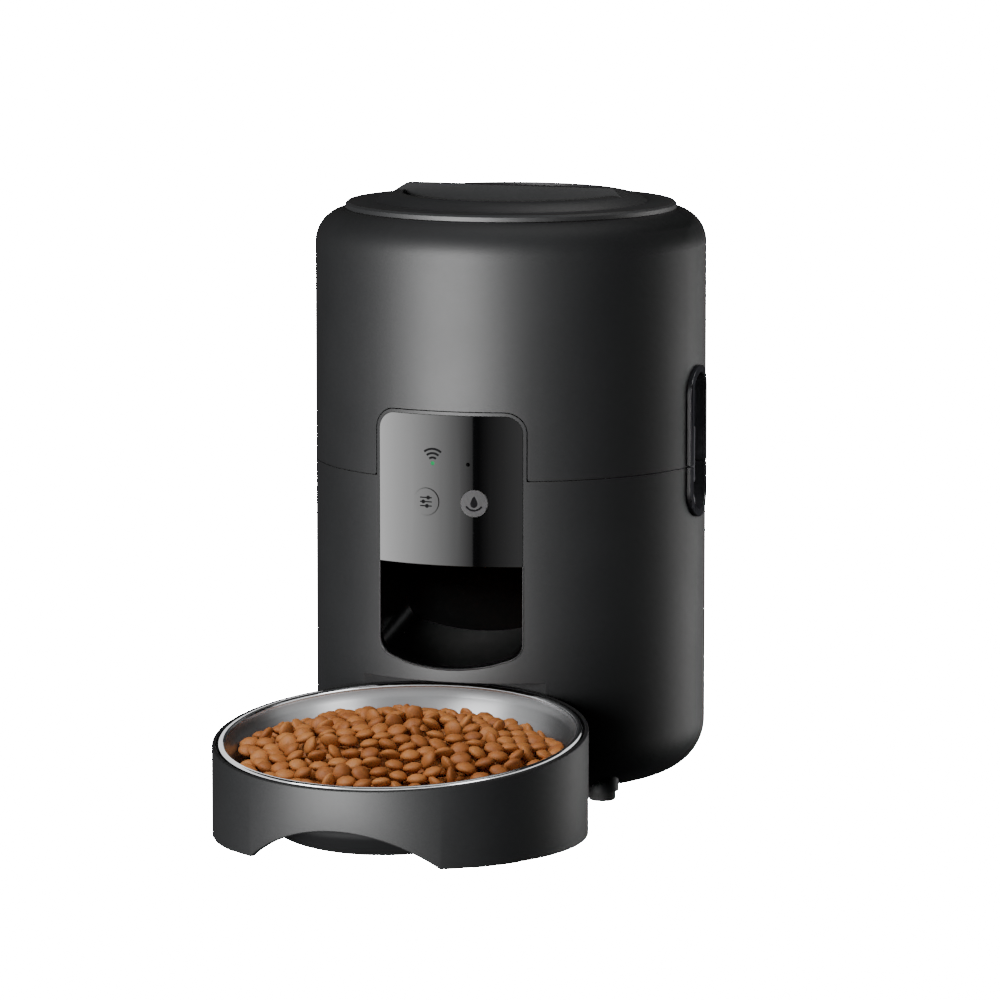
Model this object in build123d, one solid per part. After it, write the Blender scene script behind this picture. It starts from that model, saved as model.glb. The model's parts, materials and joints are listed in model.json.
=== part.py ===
from build123d import *
from math import atan2, cos, pi, radians, sin, sqrt, tan
import os

# Automatic pet feeder: a round base with a food rotor, a lift-off hopper with a lid, and a bowl on
# its own stand. Millimetres. Z is up, the floor is z = 0 and the front faces -Y. Everything is
# modelled about the drum's own axis and moved to the middle of the footprint when it is written.

# ---- the drum ----
BODY_R = 90.0
WALL = 2.6
BASE_LOW = 4.5
BASE_EDGE = 23.0
SEAM_Z = 149.5
SEAM_GAP = 0.3
SHOULDER_Z = 264.9
SHOULDER_EDGE = 15.5

# ---- gaps ----
FIT = 0.2
CLEAR = 0.4
RUN = 0.05

# ---- bowl and its stand ----
STAND_R = 83.2
STAND_WALL = 2.4
STAND_RIM_WALL = 1.6
BOWL_OFFSET = 151.1
RIM_Z = 45.1
RIM_TILT = 6.9
BEAD_R = 80.7
BEAD_THICK = 1.5
STEEL = 0.8
STEP_DEPTH = 6.5
STEP_IN = 2.0
DISH_WALL_LOW_R = 66.0
DISH_WALL_LOW = 24.0
DISH_FLOOR_R = 52.0
DISH_DEPTH = 31.0
CUP_GAP = 1.6
CUP_WALL = 2.0
ARCH_HALF = 44.0
ARCH_RISE = 16.0
PAD_HEIGHT = 0.8
PAD_ANGLE = 16.0
HEAP_Z = 39.5
DOCK_GAP = 1.2
DOCK_TOP = 58.0

# ---- control tower and its window ----
TOWER_HALF = 35.6
TOWER_TOP = 180.5
TOWER_CORNER = 9.5
TOWER_WALL = 1.4
TOWER_DEPTH = 24.0
PANEL_THICK = 2.2
PANEL_LOW = 111.0
ALCOVE_GAP = 0.45
NOTCH_CORNER = 1.3
ALCOVE_WALL = 2.2

# ---- chute ----
CHUTE_BOTTOM = 63.5
CHUTE_SAG_R = 93.0
CHUTE_CORNER = 9.0
CHUTE_WALL = 1.6
CHUTE_BACK = -44.0
CHUTE_SLOPE = 0.25
CHUTE_LEAD = 4.0
THROAT_HALF = 19.0
THROAT_LENGTH = 11.6
SENSOR_X = -24.0
SENSOR_HALF = 2.0
SENSOR_LOW = 80.0
SENSOR_HIGH = 105.0

# ---- controls ----
SET_BUTTON_X = -9.6
FEED_BUTTON_X = 13.1
BUTTON_Z = 139.6
BUTTON_R = 6.1
BUTTON_PROUD = 0.6
BUTTON_TRAVEL = 0.5
FLANGE_R = 7.3
FLANGE_INSET = 5.0
FLANGE_THICK = 1.0
LED_X = -6.5
MIC_X = 10.2
LIGHT_Z = 157.1
PINHOLE_R = 0.9
BOARD_INSET = 12.2
BOARD_THICK = 1.6
BOARD_HALF = 30.0
BOARD_LOW = 128.0
BOARD_HIGH = 172.0

# ---- rotor and its deck ----
CUP_R = 60.3
DECK_FLOOR = 116.6
DECK_PLATE = 2.5
DECK_WALL = 2.2
FLANGE_Z = 147.0
FLANGE_PLATE = 2.3
ROTOR_R = 59.3
ROTOR_LOW = 117.1
ROTOR_HIGH = 143.0
BLADES = 6
BLADE_THICK = 3.0
HUB_R = 9.0
HUB_TOP = 150.0
BAFFLE_Z = 144.0
BAFFLE_PLATE = 2.0
BAFFLE_ANGLE = 76.0
SHAFT_R = 4.0
BUSH_R = 7.0

# ---- drive ----
MODULE = 1.0
WHEEL_TEETH = 45
PINION_TEETH = 15
PRESSURE_ANGLE = 20.0
TOOTH_GAP = 0.12
ADDENDUM = 0.8
DEDENDUM = 1.15
GEAR_LOW = 104.5
GEAR_HIGH = 110.5
GEAR_COVER_LOW = 100.5
PINION_SHAFT_R = 2.5
MOTOR_R = 18.5
MOTOR_LENGTH = 30.0
GEARBOX_LENGTH = 9.0

# ---- hopper and lid ----
MOUTH_R = 66.5
COLLAR_DEPTH = 12.0
FUNNEL_R = 57.6
FUNNEL_TOP = 184.0
FUNNEL_WALL = 2.2
LID_R = 76.2
LID_PLATE = 3.0
LID_WALL = 2.4
LID_BEVEL = 1.0
CAP_R = 62.7
CAP_LIP_R = 51.0
CAP_RISE = 4.0
GRIP_RISE = 7.1
GRIP_HALF = 50.0
GRIP_FOOT_HALF = 59.0
GRIP_FRONT = -15.0
GRIP_TOP = (-3.4, 3.0)
GRIP_BACK = 27.0
SCOOP_R = 50.0
SCOOP_DEPTH = 11.0
SEAL_OUT = 66.2
SEAL_IN = 65.0
SEAL_DROP = 6.9
SEAL_HEIGHT = 2.4

# ---- drying-agent box under the lid ----
DRY_HALF = 22.0
DRY_HEIGHT = 13.4
DRY_GAP = 0.1
DRY_WALL = 1.6
DRY_DOOR_THICK = 1.6
HINGE_R = 1.5
HINGE_GAP = 0.6
KNUCKLE_WALL = 0.4
EAR_THICK = 4.0
EAR_REACH = 2.4
EAR_ROOM = 1.6
SLOT_PITCH = 5.0
SLOT_HALF = 1.0

# ---- side locks ----
LOCK_HALF = 12.5
LOCK_LOW = 125.3
LOCK_HIGH = 195.2
LOCK_RIM = 3.5
LOCK_PROUD = 1.8
TRAY_BACK_INSET = 12.0
TRAY_WALL = 2.0
TRAY_FRONT_INSET = 5.0
TRACK_LOW = 137.6
TRACK_HIGH = 185.7
SLIDER_LOW = 139.8
SLIDER_HIGH = 166.1
SLIDER_INSET = 3.6
SLIDER_WALL = 1.6
DIMPLE_Z = 150.1
DIMPLE_R = 1.7

# ---- feet, bottom cover, batteries and power ----
FOOT_R = 6.2
FOOT_INSET = 14.0
FOOT_ANGLE = 52.0
FOOT_BOSS_R = 7.6
FOOT_BOSS_HEIGHT = 6.0
FOOT_SEAT = 7.5
OPENING_R = 60.0
LEDGE_R = 55.0
LEDGE_PLATE = 2.2
COVER_SCREW_R = 57.3
COVER_SCREW_ANGLES = (45, 135, 225, 315)
COVER_BOSS_R = 2.8
COVER_BOSS_HEIGHT = 8.0
COVER_PILOT_R = 1.2
HEAD_SEAT = 1.5
DECK_SCREW_INSET = 6.5
DECK_SCREW_ANGLES = (-140, -50, 50, 140)
DECK_BOSS_R = 4.2
DECK_BOSS_LOW = 122.0
DECK_PILOT_R = 1.4
DECK_PILOT_LOW = 126.0
HEAD_R = 2.2
HEAD_HEIGHT = 1.4
SHANK_R = 1.1
CROSS_LENGTH = 2.4
CROSS_WIDTH = 0.5
CROSS_DEPTH = 1.2
CELL_R = 7.25
CELL_LENGTH = 50.5
CELLS = 4
CELL_BOX_Y = -8.0
CELL_BOX_DEPTH = 14.6
CELL_BOX_WALL = 2.0
CRADLE_HALF = 0.5
CRADLE_END = 8.0
CRADLE_DEPTH = 4.0
CONTACT_HALF = 4.5
CONTACT_THICK = 0.5
DOOR_RIM = 1.5
SOCKET_Z = 42.0
SOCKET_HALF = 4.5
SOCKET_R = 1.6
SOCKET_DEPTH = 8.0
SOCKET_HOLE = (13.0, 7.0)
SOCKET_BLOCK = 9.0
TONGUE = (3.2, 0.35)
MAIN_BOARD_Y = 66.0
MAIN_BOARD_HALF = 32.0
MAIN_BOARD_LOW = 54.0
MAIN_BOARD_HIGH = 112.0

BODY_Y = (BOWL_OFFSET + STAND_R - BODY_R) / 2
FLOOR_TOP = BASE_LOW + WALL
GEAR_DISTANCE = MODULE * (WHEEL_TEETH + PINION_TEETH) / 2 + 0.1
LID_TOP = SHOULDER_Z + LID_PLATE
SEAL_Z = SHOULDER_Z - SEAL_DROP
DRY_HIGH = LID_TOP - SCOOP_DEPTH - LID_WALL - DRY_GAP
DRY_LOW = DRY_HIGH - DRY_HEIGHT
TOWER_BACK = TOWER_DEPTH - BODY_R
FLANGE_Y = FLANGE_INSET - BODY_R
BOARD_Y = BOARD_INSET - BODY_R
TRAY_BACK = BODY_R - TRAY_BACK_INSET
TRAY_FRONT = BODY_R - TRAY_FRONT_INSET
SLIDER_FRONT = BODY_R - SLIDER_INSET
FOOT_POLAR_R = BODY_R - FOOT_INSET
DECK_SCREW_R = BODY_R - DECK_SCREW_INSET
DISH_FRAME = Pos(0, -BOWL_OFFSET, RIM_Z) * Rot(X=RIM_TILT)
SLIDER_HALF = LOCK_HALF - LOCK_RIM - 0.3
OUTSIDE = BODY_R + 5
THROUGH = 300.0
CELL_HALF = CELLS * CELL_R + 1
CELL_BOX_BACK = CELL_BOX_Y + CELL_LENGTH + 2.5
FOOT_ANGLES = (FOOT_ANGLE, 180 - FOOT_ANGLE, 180 + FOOT_ANGLE, -FOOT_ANGLE)
PAD_ANGLES = (50, 130, 230, 310)


def disc(radius, low, high, x=0.0, y=0.0):
    """An upright cylinder between two heights."""
    return Pos(x, y, (low + high) / 2) * Cylinder(radius, high - low)


def slab(x0, x1, y0, y1, z0, z1):
    """A block between two corners."""
    middle = Pos((x0 + x1) / 2, (y0 + y1) / 2, (z0 + z1) / 2)
    return middle * Box(x1 - x0, y1 - y0, z1 - z0)


def along_x(sketch, x0, x1):
    """A (y, z) outline carried from x0 to x1."""
    return extrude(Plane.YZ.offset(x0) * sketch, amount=x1 - x0)


def along_y(sketch, y0, y1):
    """An (x, z) outline carried from y0 to y1."""
    return extrude(Plane.XZ.offset(-y1) * sketch, amount=y1 - y0)


def rod_y(radius, y0, y1, x, z):
    """A round bar along Y."""
    return along_y(Pos(x, z) * Circle(radius), y0, y1)


def outline(*points):
    """A flat polygon."""
    return make_face(Polyline(*points, close=True))


def turned(*points):
    """A solid of revolution about Z from (radius, z) points."""
    return revolve(Plane.XZ * outline(*points), Axis.Z)


def at_angle(radius, angle):
    """The point at an angle from the front, positive towards +X."""
    return radius * sin(radians(angle)), -radius * cos(radians(angle))


def around(shape, angle):
    """A front piece carried round the drum to an angle."""
    return Rot(Z=angle) * shape


def mirrored(shape):
    """The same piece on the other side of the drum."""
    return mirror(shape, about=Plane.YZ)


def write(name, shape):
    """Move a node to the middle of the footprint and write it."""
    export_step(Pos(0, BODY_Y, 0) * shape, f"parts/{name}.step")


# ---- outlines that several pieces share ----
def tower_outline(grow, low):
    """The tower seen from the front, grown by a gap, from a low edge up."""
    half = TOWER_HALF + grow
    top = TOWER_TOP + grow
    face = Pos(0, (low + top) / 2) * Rectangle(2 * half, top - low)
    upper = face.vertices().group_by(Axis.Y)[-1]
    return fillet(upper, TOWER_CORNER + grow)


def window_outline(grow, high):
    """The opening that the panel and the chute share, with its sagging lower edge."""
    half = TOWER_HALF - TOWER_WALL + grow
    low = CHUTE_BOTTOM - grow
    arc_r = CHUTE_SAG_R + grow
    face = Pos(0, (low + high) / 2) * Rectangle(2 * half, high - low)
    sag = arc_r - sqrt(arc_r ** 2 - half ** 2)
    below = face & (Pos(0, low + arc_r) * Circle(arc_r))
    above = Pos(0, (low + sag + high) / 2) * Rectangle(2 * half, high - low - sag)
    face = (below + above).face()
    corners = [v for v in face.vertices() if abs(v.Y - low - sag) < 0.5]
    return fillet(corners, CHUTE_CORNER + grow)


def pill(half, low, high):
    """An upright slot outline with round ends."""
    return Pos(0, (low + high) / 2) * SlotOverall(high - low, 2 * half, rotation=90)


def lock_hole():
    """The opening in the drum's wall that a side lock fits into."""
    return along_x(pill(LOCK_HALF + RUN, LOCK_LOW - RUN, LOCK_HIGH + RUN), BODY_R / 2, OUTSIDE)


def dock_void(grow):
    """The bay that the back of the bowl stand fits into."""
    return disc(STAND_R + DOCK_GAP + grow, -1, DOCK_TOP + grow, y=-BOWL_OFFSET)


# ---- base ----
def drum_foot(inset, high):
    """The lower drum with its rounded bottom edge, inset by a wall."""
    drum = disc(BODY_R - inset, BASE_LOW + inset, high)
    return fillet(drum.edges().group_by(Axis.Z)[0], BASE_EDGE - inset)


def tower_walls():
    """The U-shaped wall that carries the panel above the seam."""
    low = SEAM_Z - 12
    block = along_y(tower_outline(0, low), -OUTSIDE, TOWER_BACK)
    hollow = along_y(tower_outline(-TOWER_WALL, low - 1), -OUTSIDE - 1, TOWER_BACK + 1)
    return (block & disc(BODY_R, low, TOWER_TOP)) - hollow


def base_shell():
    """The moulded base: drum, dock bay, tower, bosses and the ledge for the bottom cover."""
    shell = drum_foot(0, SEAM_Z) - (drum_foot(WALL, SEAM_Z + 5) - dock_void(WALL))
    shell -= dock_void(0)
    shell += disc(OPENING_R + 2, FLOOR_TOP - 0.1, FLOOR_TOP + LEDGE_PLATE) - disc(LEDGE_R, 0, THROUGH)
    for angle in DECK_SCREW_ANGLES:
        x, y = at_angle(DECK_SCREW_R, angle)
        shell += disc(DECK_BOSS_R, DECK_BOSS_LOW, FLANGE_Z, x, y)
        shell -= disc(DECK_PILOT_R, DECK_PILOT_LOW, FLANGE_Z + 1, x, y)
    for angle in COVER_SCREW_ANGLES:
        x, y = at_angle(COVER_SCREW_R, angle)
        shell += disc(COVER_BOSS_R, FLOOR_TOP, FLOOR_TOP + COVER_BOSS_HEIGHT, x, y)
        shell -= disc(COVER_PILOT_R, BASE_LOW, FLOOR_TOP + COVER_BOSS_HEIGHT - 2, x, y)
    for angle in FOOT_ANGLES:
        x, y = at_angle(FOOT_POLAR_R, angle)
        shell += disc(FOOT_BOSS_R, BASE_LOW, FLOOR_TOP + FOOT_BOSS_HEIGHT, x, y)
        shell -= disc(FOOT_R, 0, FOOT_SEAT, x, y)
    shell -= disc(OPENING_R, 0, FLOOR_TOP)
    shell -= along_y(window_outline(0, SEAM_Z + 1), -OUTSIDE, -BODY_R / 2)
    shell += tower_walls()
    shell -= lock_hole()
    shell -= mirrored(lock_hole())
    shell -= along_y(Pos(0, SOCKET_Z) * SlotOverall(*SOCKET_HOLE), BODY_R / 2, OUTSIDE)
    return shell


def bottom_cover():
    """The disc that closes the base from below."""
    cover = disc(OPENING_R - FIT, BASE_LOW + 0.1, FLOOR_TOP - 0.1)
    cover -= slab(-CELL_HALF, CELL_HALF, CELL_BOX_Y, CELL_BOX_BACK, 0, THROUGH)
    for angle in COVER_SCREW_ANGLES:
        cx, cy = at_angle(COVER_SCREW_R, angle)
        cover -= disc(SHANK_R + FIT, 0, THROUGH, cx, cy)
        cover -= disc(HEAD_R + FIT, 0, BASE_LOW + HEAD_SEAT, cx, cy)
    return cover


def battery_box():
    """The open-bottomed box for the back-up cells, with a cradle wall between each two cells."""
    x = CELL_HALF
    low = FLOOR_TOP + LEDGE_PLATE + FIT
    high = low + CELL_BOX_DEPTH
    back = CELL_BOX_BACK
    wall = CELL_BOX_WALL
    box = slab(-x - wall, x + wall, CELL_BOX_Y - wall, back + wall, low, high + wall)
    box -= slab(-x, x, CELL_BOX_Y, back, low - 1, high)
    for i in range(1, CELLS):
        cx = (i - CELLS / 2) * 2 * CELL_R
        box += slab(cx - CRADLE_HALF, cx + CRADLE_HALF, CELL_BOX_Y + CRADLE_END, back - CRADLE_END,
                    high - CRADLE_DEPTH, high + 0.5)
    return box


def battery_door():
    """The flush door over the cells, with a stiffening rim inside."""
    x = CELL_HALF - FIT
    y0 = CELL_BOX_Y + FIT
    y1 = CELL_BOX_BACK - FIT
    wall = DOOR_RIM
    door = slab(-x, x, y0, y1, BASE_LOW + 0.1, FLOOR_TOP - 0.7)
    rim = slab(-x, x, y0, y1, FLOOR_TOP - 0.8, FLOOR_TOP + 0.6)
    return door + (rim - slab(-x + wall, x - wall, y0 + wall, y1 - wall, 0, THROUGH))


def battery_contacts():
    """A contact plate at each end of each cell."""
    low = FLOOR_TOP + LEDGE_PLATE + 2
    plates = []
    for i in range(CELLS):
        x = (i - (CELLS - 1) / 2) * 2 * CELL_R
        for y in (CELL_BOX_Y + RUN, CELL_BOX_BACK - RUN - CONTACT_THICK):
            plates.append(slab(x - CONTACT_HALF, x + CONTACT_HALF, y, y + CONTACT_THICK,
                               low, low + 2 * CONTACT_HALF))
    return Compound(plates)


def rubber_feet():
    """Four rubber feet in their bosses."""
    feet = []
    for angle in FOOT_ANGLES:
        x, y = at_angle(FOOT_POLAR_R, angle)
        foot = disc(FOOT_R, 0, FOOT_SEAT, x, y)
        feet.append(chamfer(foot.edges().group_by(Axis.Z)[0], 0.7))
    return Compound(feet)


def power_socket():
    """The power inlet at the back: a slot-shaped metal shell in a moulded block."""
    back = BODY_R - WALL + 0.6
    front = back - SOCKET_DEPTH
    metal = SlotOverall(2 * SOCKET_HALF, 2 * SOCKET_R)
    block = slab(-SOCKET_BLOCK, SOCKET_BLOCK, front - 2, BODY_R - WALL - 1.2, SOCKET_Z - 5, SOCKET_Z + 5)
    ring = SlotOverall(SOCKET_HOLE[0] - CLEAR, SOCKET_HOLE[1] - CLEAR) - metal
    socket = block - along_y(Pos(0, SOCKET_Z) * metal, front, BODY_R)
    socket += along_y(Pos(0, SOCKET_Z) * ring, back - 3, back)
    half, thick = TONGUE
    tongue = slab(-half, half, front - 1, back - 1.2, SOCKET_Z - thick, SOCKET_Z + thick)
    return socket + tongue


def main_board():
    """The control board behind the drive, with its larger parts."""
    y = MAIN_BOARD_Y
    half = MAIN_BOARD_HALF
    board = slab(-half, half, y, y + BOARD_THICK, MAIN_BOARD_LOW, MAIN_BOARD_HIGH)
    board += slab(-20, -6, y - 3, y, 62, 80)
    board += slab(2, 12, y - 1.4, y, 66, 76)
    board += slab(-24, 24, y - 1.2, y, 98, 106)
    for x in (-14, 6, 18):
        board += rod_y(3.2, y - 8, y, x, 88)
    return board


# ---- controls ----
def front_panel():
    """The curved glossy panel over the controls."""
    half = TOWER_HALF - TOWER_WALL - FIT
    top = TOWER_TOP - TOWER_WALL - FIT
    face = Pos(0, (PANEL_LOW + top) / 2) * Rectangle(2 * half, top - PANEL_LOW)
    face = fillet(face.vertices().group_by(Axis.Y)[-1], TOWER_CORNER - TOWER_WALL - FIT)
    ring = disc(BODY_R, PANEL_LOW - 1, top + 1) - disc(BODY_R - PANEL_THICK, 0, THROUGH)
    panel = along_y(face, -OUTSIDE, TOWER_BACK) & ring
    for x in (SET_BUTTON_X, FEED_BUTTON_X):
        panel -= rod_y(BUTTON_R + FIT, -OUTSIDE, 0, x, BUTTON_Z)
    for x in (LED_X, MIC_X):
        panel -= rod_y(PINHOLE_R, -OUTSIDE, 0, x, LIGHT_Z)
    return panel


def control_button(x):
    """A push button: a curved cap, its stem and the flange that holds it in."""
    stem = rod_y(BUTTON_R, -OUTSIDE, FLANGE_Y, x, BUTTON_Z)
    stem &= disc(BODY_R + BUTTON_PROUD, BUTTON_Z - 20, BUTTON_Z + 20)
    flange = rod_y(FLANGE_R, FLANGE_Y, FLANGE_Y + FLANGE_THICK, x, BUTTON_Z)
    plunger = rod_y(1.6, FLANGE_Y, FLANGE_Y + FLANGE_THICK + 0.8, x, BUTTON_Z)
    return stem + flange + plunger


def button_board():
    """The board behind the panel with a switch for each button."""
    board = slab(-BOARD_HALF, BOARD_HALF, BOARD_Y, BOARD_Y + BOARD_THICK, BOARD_LOW, BOARD_HIGH)
    top = FLANGE_Y + FLANGE_THICK + 0.8 + BUTTON_TRAVEL + 0.1
    for x in (SET_BUTTON_X, FEED_BUTTON_X):
        board += slab(x - 3, x + 3, top + 1.2, BOARD_Y, BUTTON_Z - 3, BUTTON_Z + 3)
        board += rod_y(1.7, top, BOARD_Y, x, BUTTON_Z)
    return board


def signal_led():
    """The light pipe and lamp behind the panel."""
    pipe = rod_y(PINHOLE_R - RUN, -BODY_R + 0.35, BOARD_Y - 2, LED_X, LIGHT_Z)
    return pipe + slab(LED_X - 1.8, LED_X + 1.8, BOARD_Y - 2.4, BOARD_Y, LIGHT_Z - 1.8, LIGHT_Z + 1.8)


def microphone():
    """The microphone capsule behind its pinhole, on a rubber spacer."""
    capsule = rod_y(3.0, -BODY_R + PANEL_THICK + 1.2, BOARD_Y, MIC_X, LIGHT_Z)
    return capsule - rod_y(0.9, -BODY_R, -BODY_R + 6, MIC_X, LIGHT_Z)


def tower_back_cover():
    """The plate that closes the back of the tower."""
    low = FLANGE_Z + FLANGE_PLATE + FIT
    plate = along_y(tower_outline(-TOWER_WALL - 0.1, low), TOWER_BACK - 1.8, TOWER_BACK)
    ribs = slab(-24, 24, TOWER_BACK - 3.2, TOWER_BACK - 1.8, low + 4, low + 6)
    return plate + ribs


# ---- chute ----
def chute_passage(grow, high):
    """The sloping passage of the chute, grown by a wall."""
    sketch = Plane.XZ.offset(BODY_R + CHUTE_LEAD) * window_outline(grow, high)
    length = BODY_R + CHUTE_LEAD + CHUTE_BACK + grow
    passage = extrude(sketch, amount=length, dir=(0, 1, CHUTE_SLOPE))
    return Pos(0, 0, -CHUTE_LEAD * CHUTE_SLOPE) * passage


def food_chute():
    """The glossy chute from the rotor's outlet to the mouth above the bowl."""
    inner_wall = disc(BODY_R - WALL - RUN, 0, PANEL_LOW + CHUTE_WALL)
    chute = chute_passage(CHUTE_WALL, PANEL_LOW + 40) & inner_wall
    throat_y = CHUTE_BACK - THROAT_LENGTH
    half = THROAT_HALF + CHUTE_WALL
    deck_low = DECK_FLOOR - DECK_PLATE - 0.1
    chute += slab(-half, half, throat_y - CHUTE_WALL, CHUTE_BACK + CHUTE_WALL, PANEL_LOW, deck_low)
    chute -= chute_passage(0, PANEL_LOW + 40) & disc(OUTSIDE, 0, PANEL_LOW)
    chute -= slab(-THROAT_HALF, THROAT_HALF, throat_y, CHUTE_BACK, PANEL_LOW - 4, deck_low + 1)
    slot = Pos(SENSOR_X, (SENSOR_LOW + SENSOR_HIGH) / 2)
    slot = slot * SlotOverall(SENSOR_HIGH - SENSOR_LOW, 2 * SENSOR_HALF, rotation=90)
    return chute - along_y(slot, CHUTE_BACK - 1, CHUTE_BACK + 5)


def sensor_window():
    """The light window that counts falling food, in the back wall of the chute."""
    slot = Pos(SENSOR_X, (SENSOR_LOW + SENSOR_HIGH) / 2)
    pane = slot * SlotOverall(SENSOR_HIGH - SENSOR_LOW - 0.1, 2 * SENSOR_HALF - 0.1, rotation=90)
    block = slot * SlotOverall(SENSOR_HIGH - SENSOR_LOW + 4, 2 * SENSOR_HALF + 4, rotation=90)
    back = CHUTE_BACK + CHUTE_WALL
    return along_y(pane, CHUTE_BACK + 0.3, back) + along_y(block, back, back + 2)


# ---- rotor and its deck ----
def sector(inner, outer, angle, low, high):
    """A ring sector centred on the front."""
    far = 2 * outer
    x, y = at_angle(far, angle / 2)
    wedge = extrude(outline((0, 0), (x, y), (-x, y)), amount=high - low)
    ring = disc(outer, low, high) - disc(inner, low - 1, high + 1)
    return ring & (Pos(0, 0, low) * wedge)


def lock_clearance():
    """The spaces that the side locks take out of the deck and the funnel."""
    space = slab(TRAY_BACK - FIT, BODY_R, -LOCK_HALF - FIT, LOCK_HALF + FIT, LOCK_LOW, LOCK_HIGH + 2)
    return space + mirrored(space)


def rotor_deck():
    """The cup that the rotor turns in, its flange, its outlet and the baffle over the outlet."""
    top = FLANGE_Z + FLANGE_PLATE
    bottom = DECK_FLOOR - DECK_PLATE
    deck = disc(CUP_R + DECK_WALL, bottom, top)
    deck += disc(BODY_R - WALL - FIT, FLANGE_Z, top)
    deck -= disc(CUP_R, DECK_FLOOR, top + 1)
    deck += sector(HUB_R + 3, CUP_R + 0.5, BAFFLE_ANGLE, BAFFLE_Z, BAFFLE_Z + BAFFLE_PLATE)
    half = TOWER_HALF + CLEAR
    deck -= slab(-half, half, -BODY_R, -CUP_R - DECK_WALL - 0.1, FLANGE_Z - 1, top + 1)
    deck -= lock_clearance()
    throat_y = CHUTE_BACK - THROAT_LENGTH
    deck -= slab(-THROAT_HALF, THROAT_HALF, throat_y, CHUTE_BACK, bottom - 1, DECK_FLOOR + 1)
    deck += disc(BUSH_R + 3, DECK_FLOOR - 6, DECK_FLOOR)
    deck -= disc(BUSH_R, 0, top)
    for angle in DECK_SCREW_ANGLES:
        x, y = at_angle(DECK_SCREW_R, angle)
        deck -= disc(1.7, FLANGE_Z - 1, top + 1, x, y)
    return deck


def shaft_bush():
    """The plain bush that the rotor shaft runs in."""
    bush = disc(BUSH_R, DECK_FLOOR - 6, DECK_FLOOR)
    return bush - disc(SHAFT_R + RUN, 0, DECK_FLOOR + 1)


def rotor_wheel():
    """The paddle wheel, with a domed hub that stirs the food."""
    wheel = disc(HUB_R, ROTOR_LOW, HUB_TOP - 4)
    wheel += Pos(0, 0, HUB_TOP - 2) * Cone(HUB_R, HUB_R - 4, 4)
    for i in range(BLADES):
        blade = slab(-BLADE_THICK / 2, BLADE_THICK / 2, -ROTOR_R, -HUB_R + 1, ROTOR_LOW, ROTOR_HIGH)
        wheel += around(blade, (i + 0.5) * 360 / BLADES)
    wheel &= disc(ROTOR_R, ROTOR_LOW, HUB_TOP)
    return wheel - disc(SHAFT_R, 0, ROTOR_HIGH)


def rotor_shaft():
    """The shaft that carries the wheel and the drive gear."""
    shaft = disc(SHAFT_R, GEAR_COVER_LOW - 1, ROTOR_HIGH)
    return chamfer(shaft.edges().group_by(Axis.Z)[0], 0.4)


def involute_gear(teeth, low, high, tooth_first):
    """A spur gear with involute flanks; its first tooth or its first space faces +Y."""
    pitch_r = MODULE * teeth / 2
    base_r = pitch_r * cos(radians(PRESSURE_ANGLE))
    tip_r = pitch_r + ADDENDUM * MODULE
    root_r = pitch_r - DEDENDUM * MODULE
    involute = tan(radians(PRESSURE_ANGLE)) - radians(PRESSURE_ANGLE)
    half_tooth = pi / 2 / teeth - TOOTH_GAP / 2 / pitch_r + involute
    flank = [(root_r, half_tooth)]
    start = max(base_r, root_r + 0.05)
    for i in range(5):
        r = start + (tip_r - start) * i / 4
        roll = sqrt(max((r / base_r) ** 2 - 1, 0.0))
        flank.append((r, half_tooth - (roll - atan2(roll, 1.0))))
    points = []
    turn = 0 if tooth_first else pi / teeth
    for i in range(teeth):
        middle = pi / 2 + turn + 2 * pi * i / teeth
        for r, a in flank:
            points.append((r * cos(middle - a), r * sin(middle - a)))
        for r, a in reversed(flank):
            points.append((r * cos(middle + a), r * sin(middle + a)))
    return Pos(0, 0, low) * extrude(outline(*points), amount=high - low)


def drive_gear():
    """The wheel gear on the rotor shaft, with its lightening holes."""
    gear = involute_gear(WHEEL_TEETH, GEAR_LOW, GEAR_HIGH, True)
    gear += disc(8, GEAR_LOW - 1.5, GEAR_HIGH)
    for i in range(6):
        x, y = at_angle(14, 60 * i)
        gear -= disc(3.6, 0, GEAR_HIGH + 1, x, y)
    return gear - disc(SHAFT_R, 0, 200)


def motor_pinion():
    """The pinion on the motor's output shaft, and that shaft's free end."""
    gear = involute_gear(PINION_TEETH, GEAR_LOW - 0.8, GEAR_HIGH + 0.6, False)
    gear += disc(PINION_SHAFT_R, GEAR_COVER_LOW - 3, GEAR_HIGH + 2)
    return Pos(0, GEAR_DISTANCE, 0) * (Rot(Z=180) * gear)


def gear_cover():
    """The dish-shaped cover that closes the gears in under the deck and holds the motor."""
    top = DECK_FLOOR - DECK_PLATE - 0.1
    low = GEAR_COVER_LOW
    wheel_r = MODULE * WHEEL_TEETH / 2 + 3
    pinion_r = MODULE * PINION_TEETH / 2 + 4.5
    outer = disc(wheel_r + 2, low, top) + disc(pinion_r + 2, low, top, y=GEAR_DISTANCE)
    hollow = disc(wheel_r, low + 2, top + 1) + disc(pinion_r, low + 2, top + 1, y=GEAR_DISTANCE)
    hollow += slab(-pinion_r, pinion_r, 0, GEAR_DISTANCE, low + 2, top + 1)
    cover = outer + slab(-pinion_r - 2, pinion_r + 2, 0, GEAR_DISTANCE, low, top) - hollow
    for side in (-1, 1):
        cover += disc(4, low, top, side * (wheel_r + 5), 0)
        cover -= disc(1.4, low - 1, top + 1, side * (wheel_r + 5), 0)
    cover -= disc(SHAFT_R + RUN, 0, low + 5)
    return cover - disc(PINION_SHAFT_R + 2, 0, low + 5, y=GEAR_DISTANCE)


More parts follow.
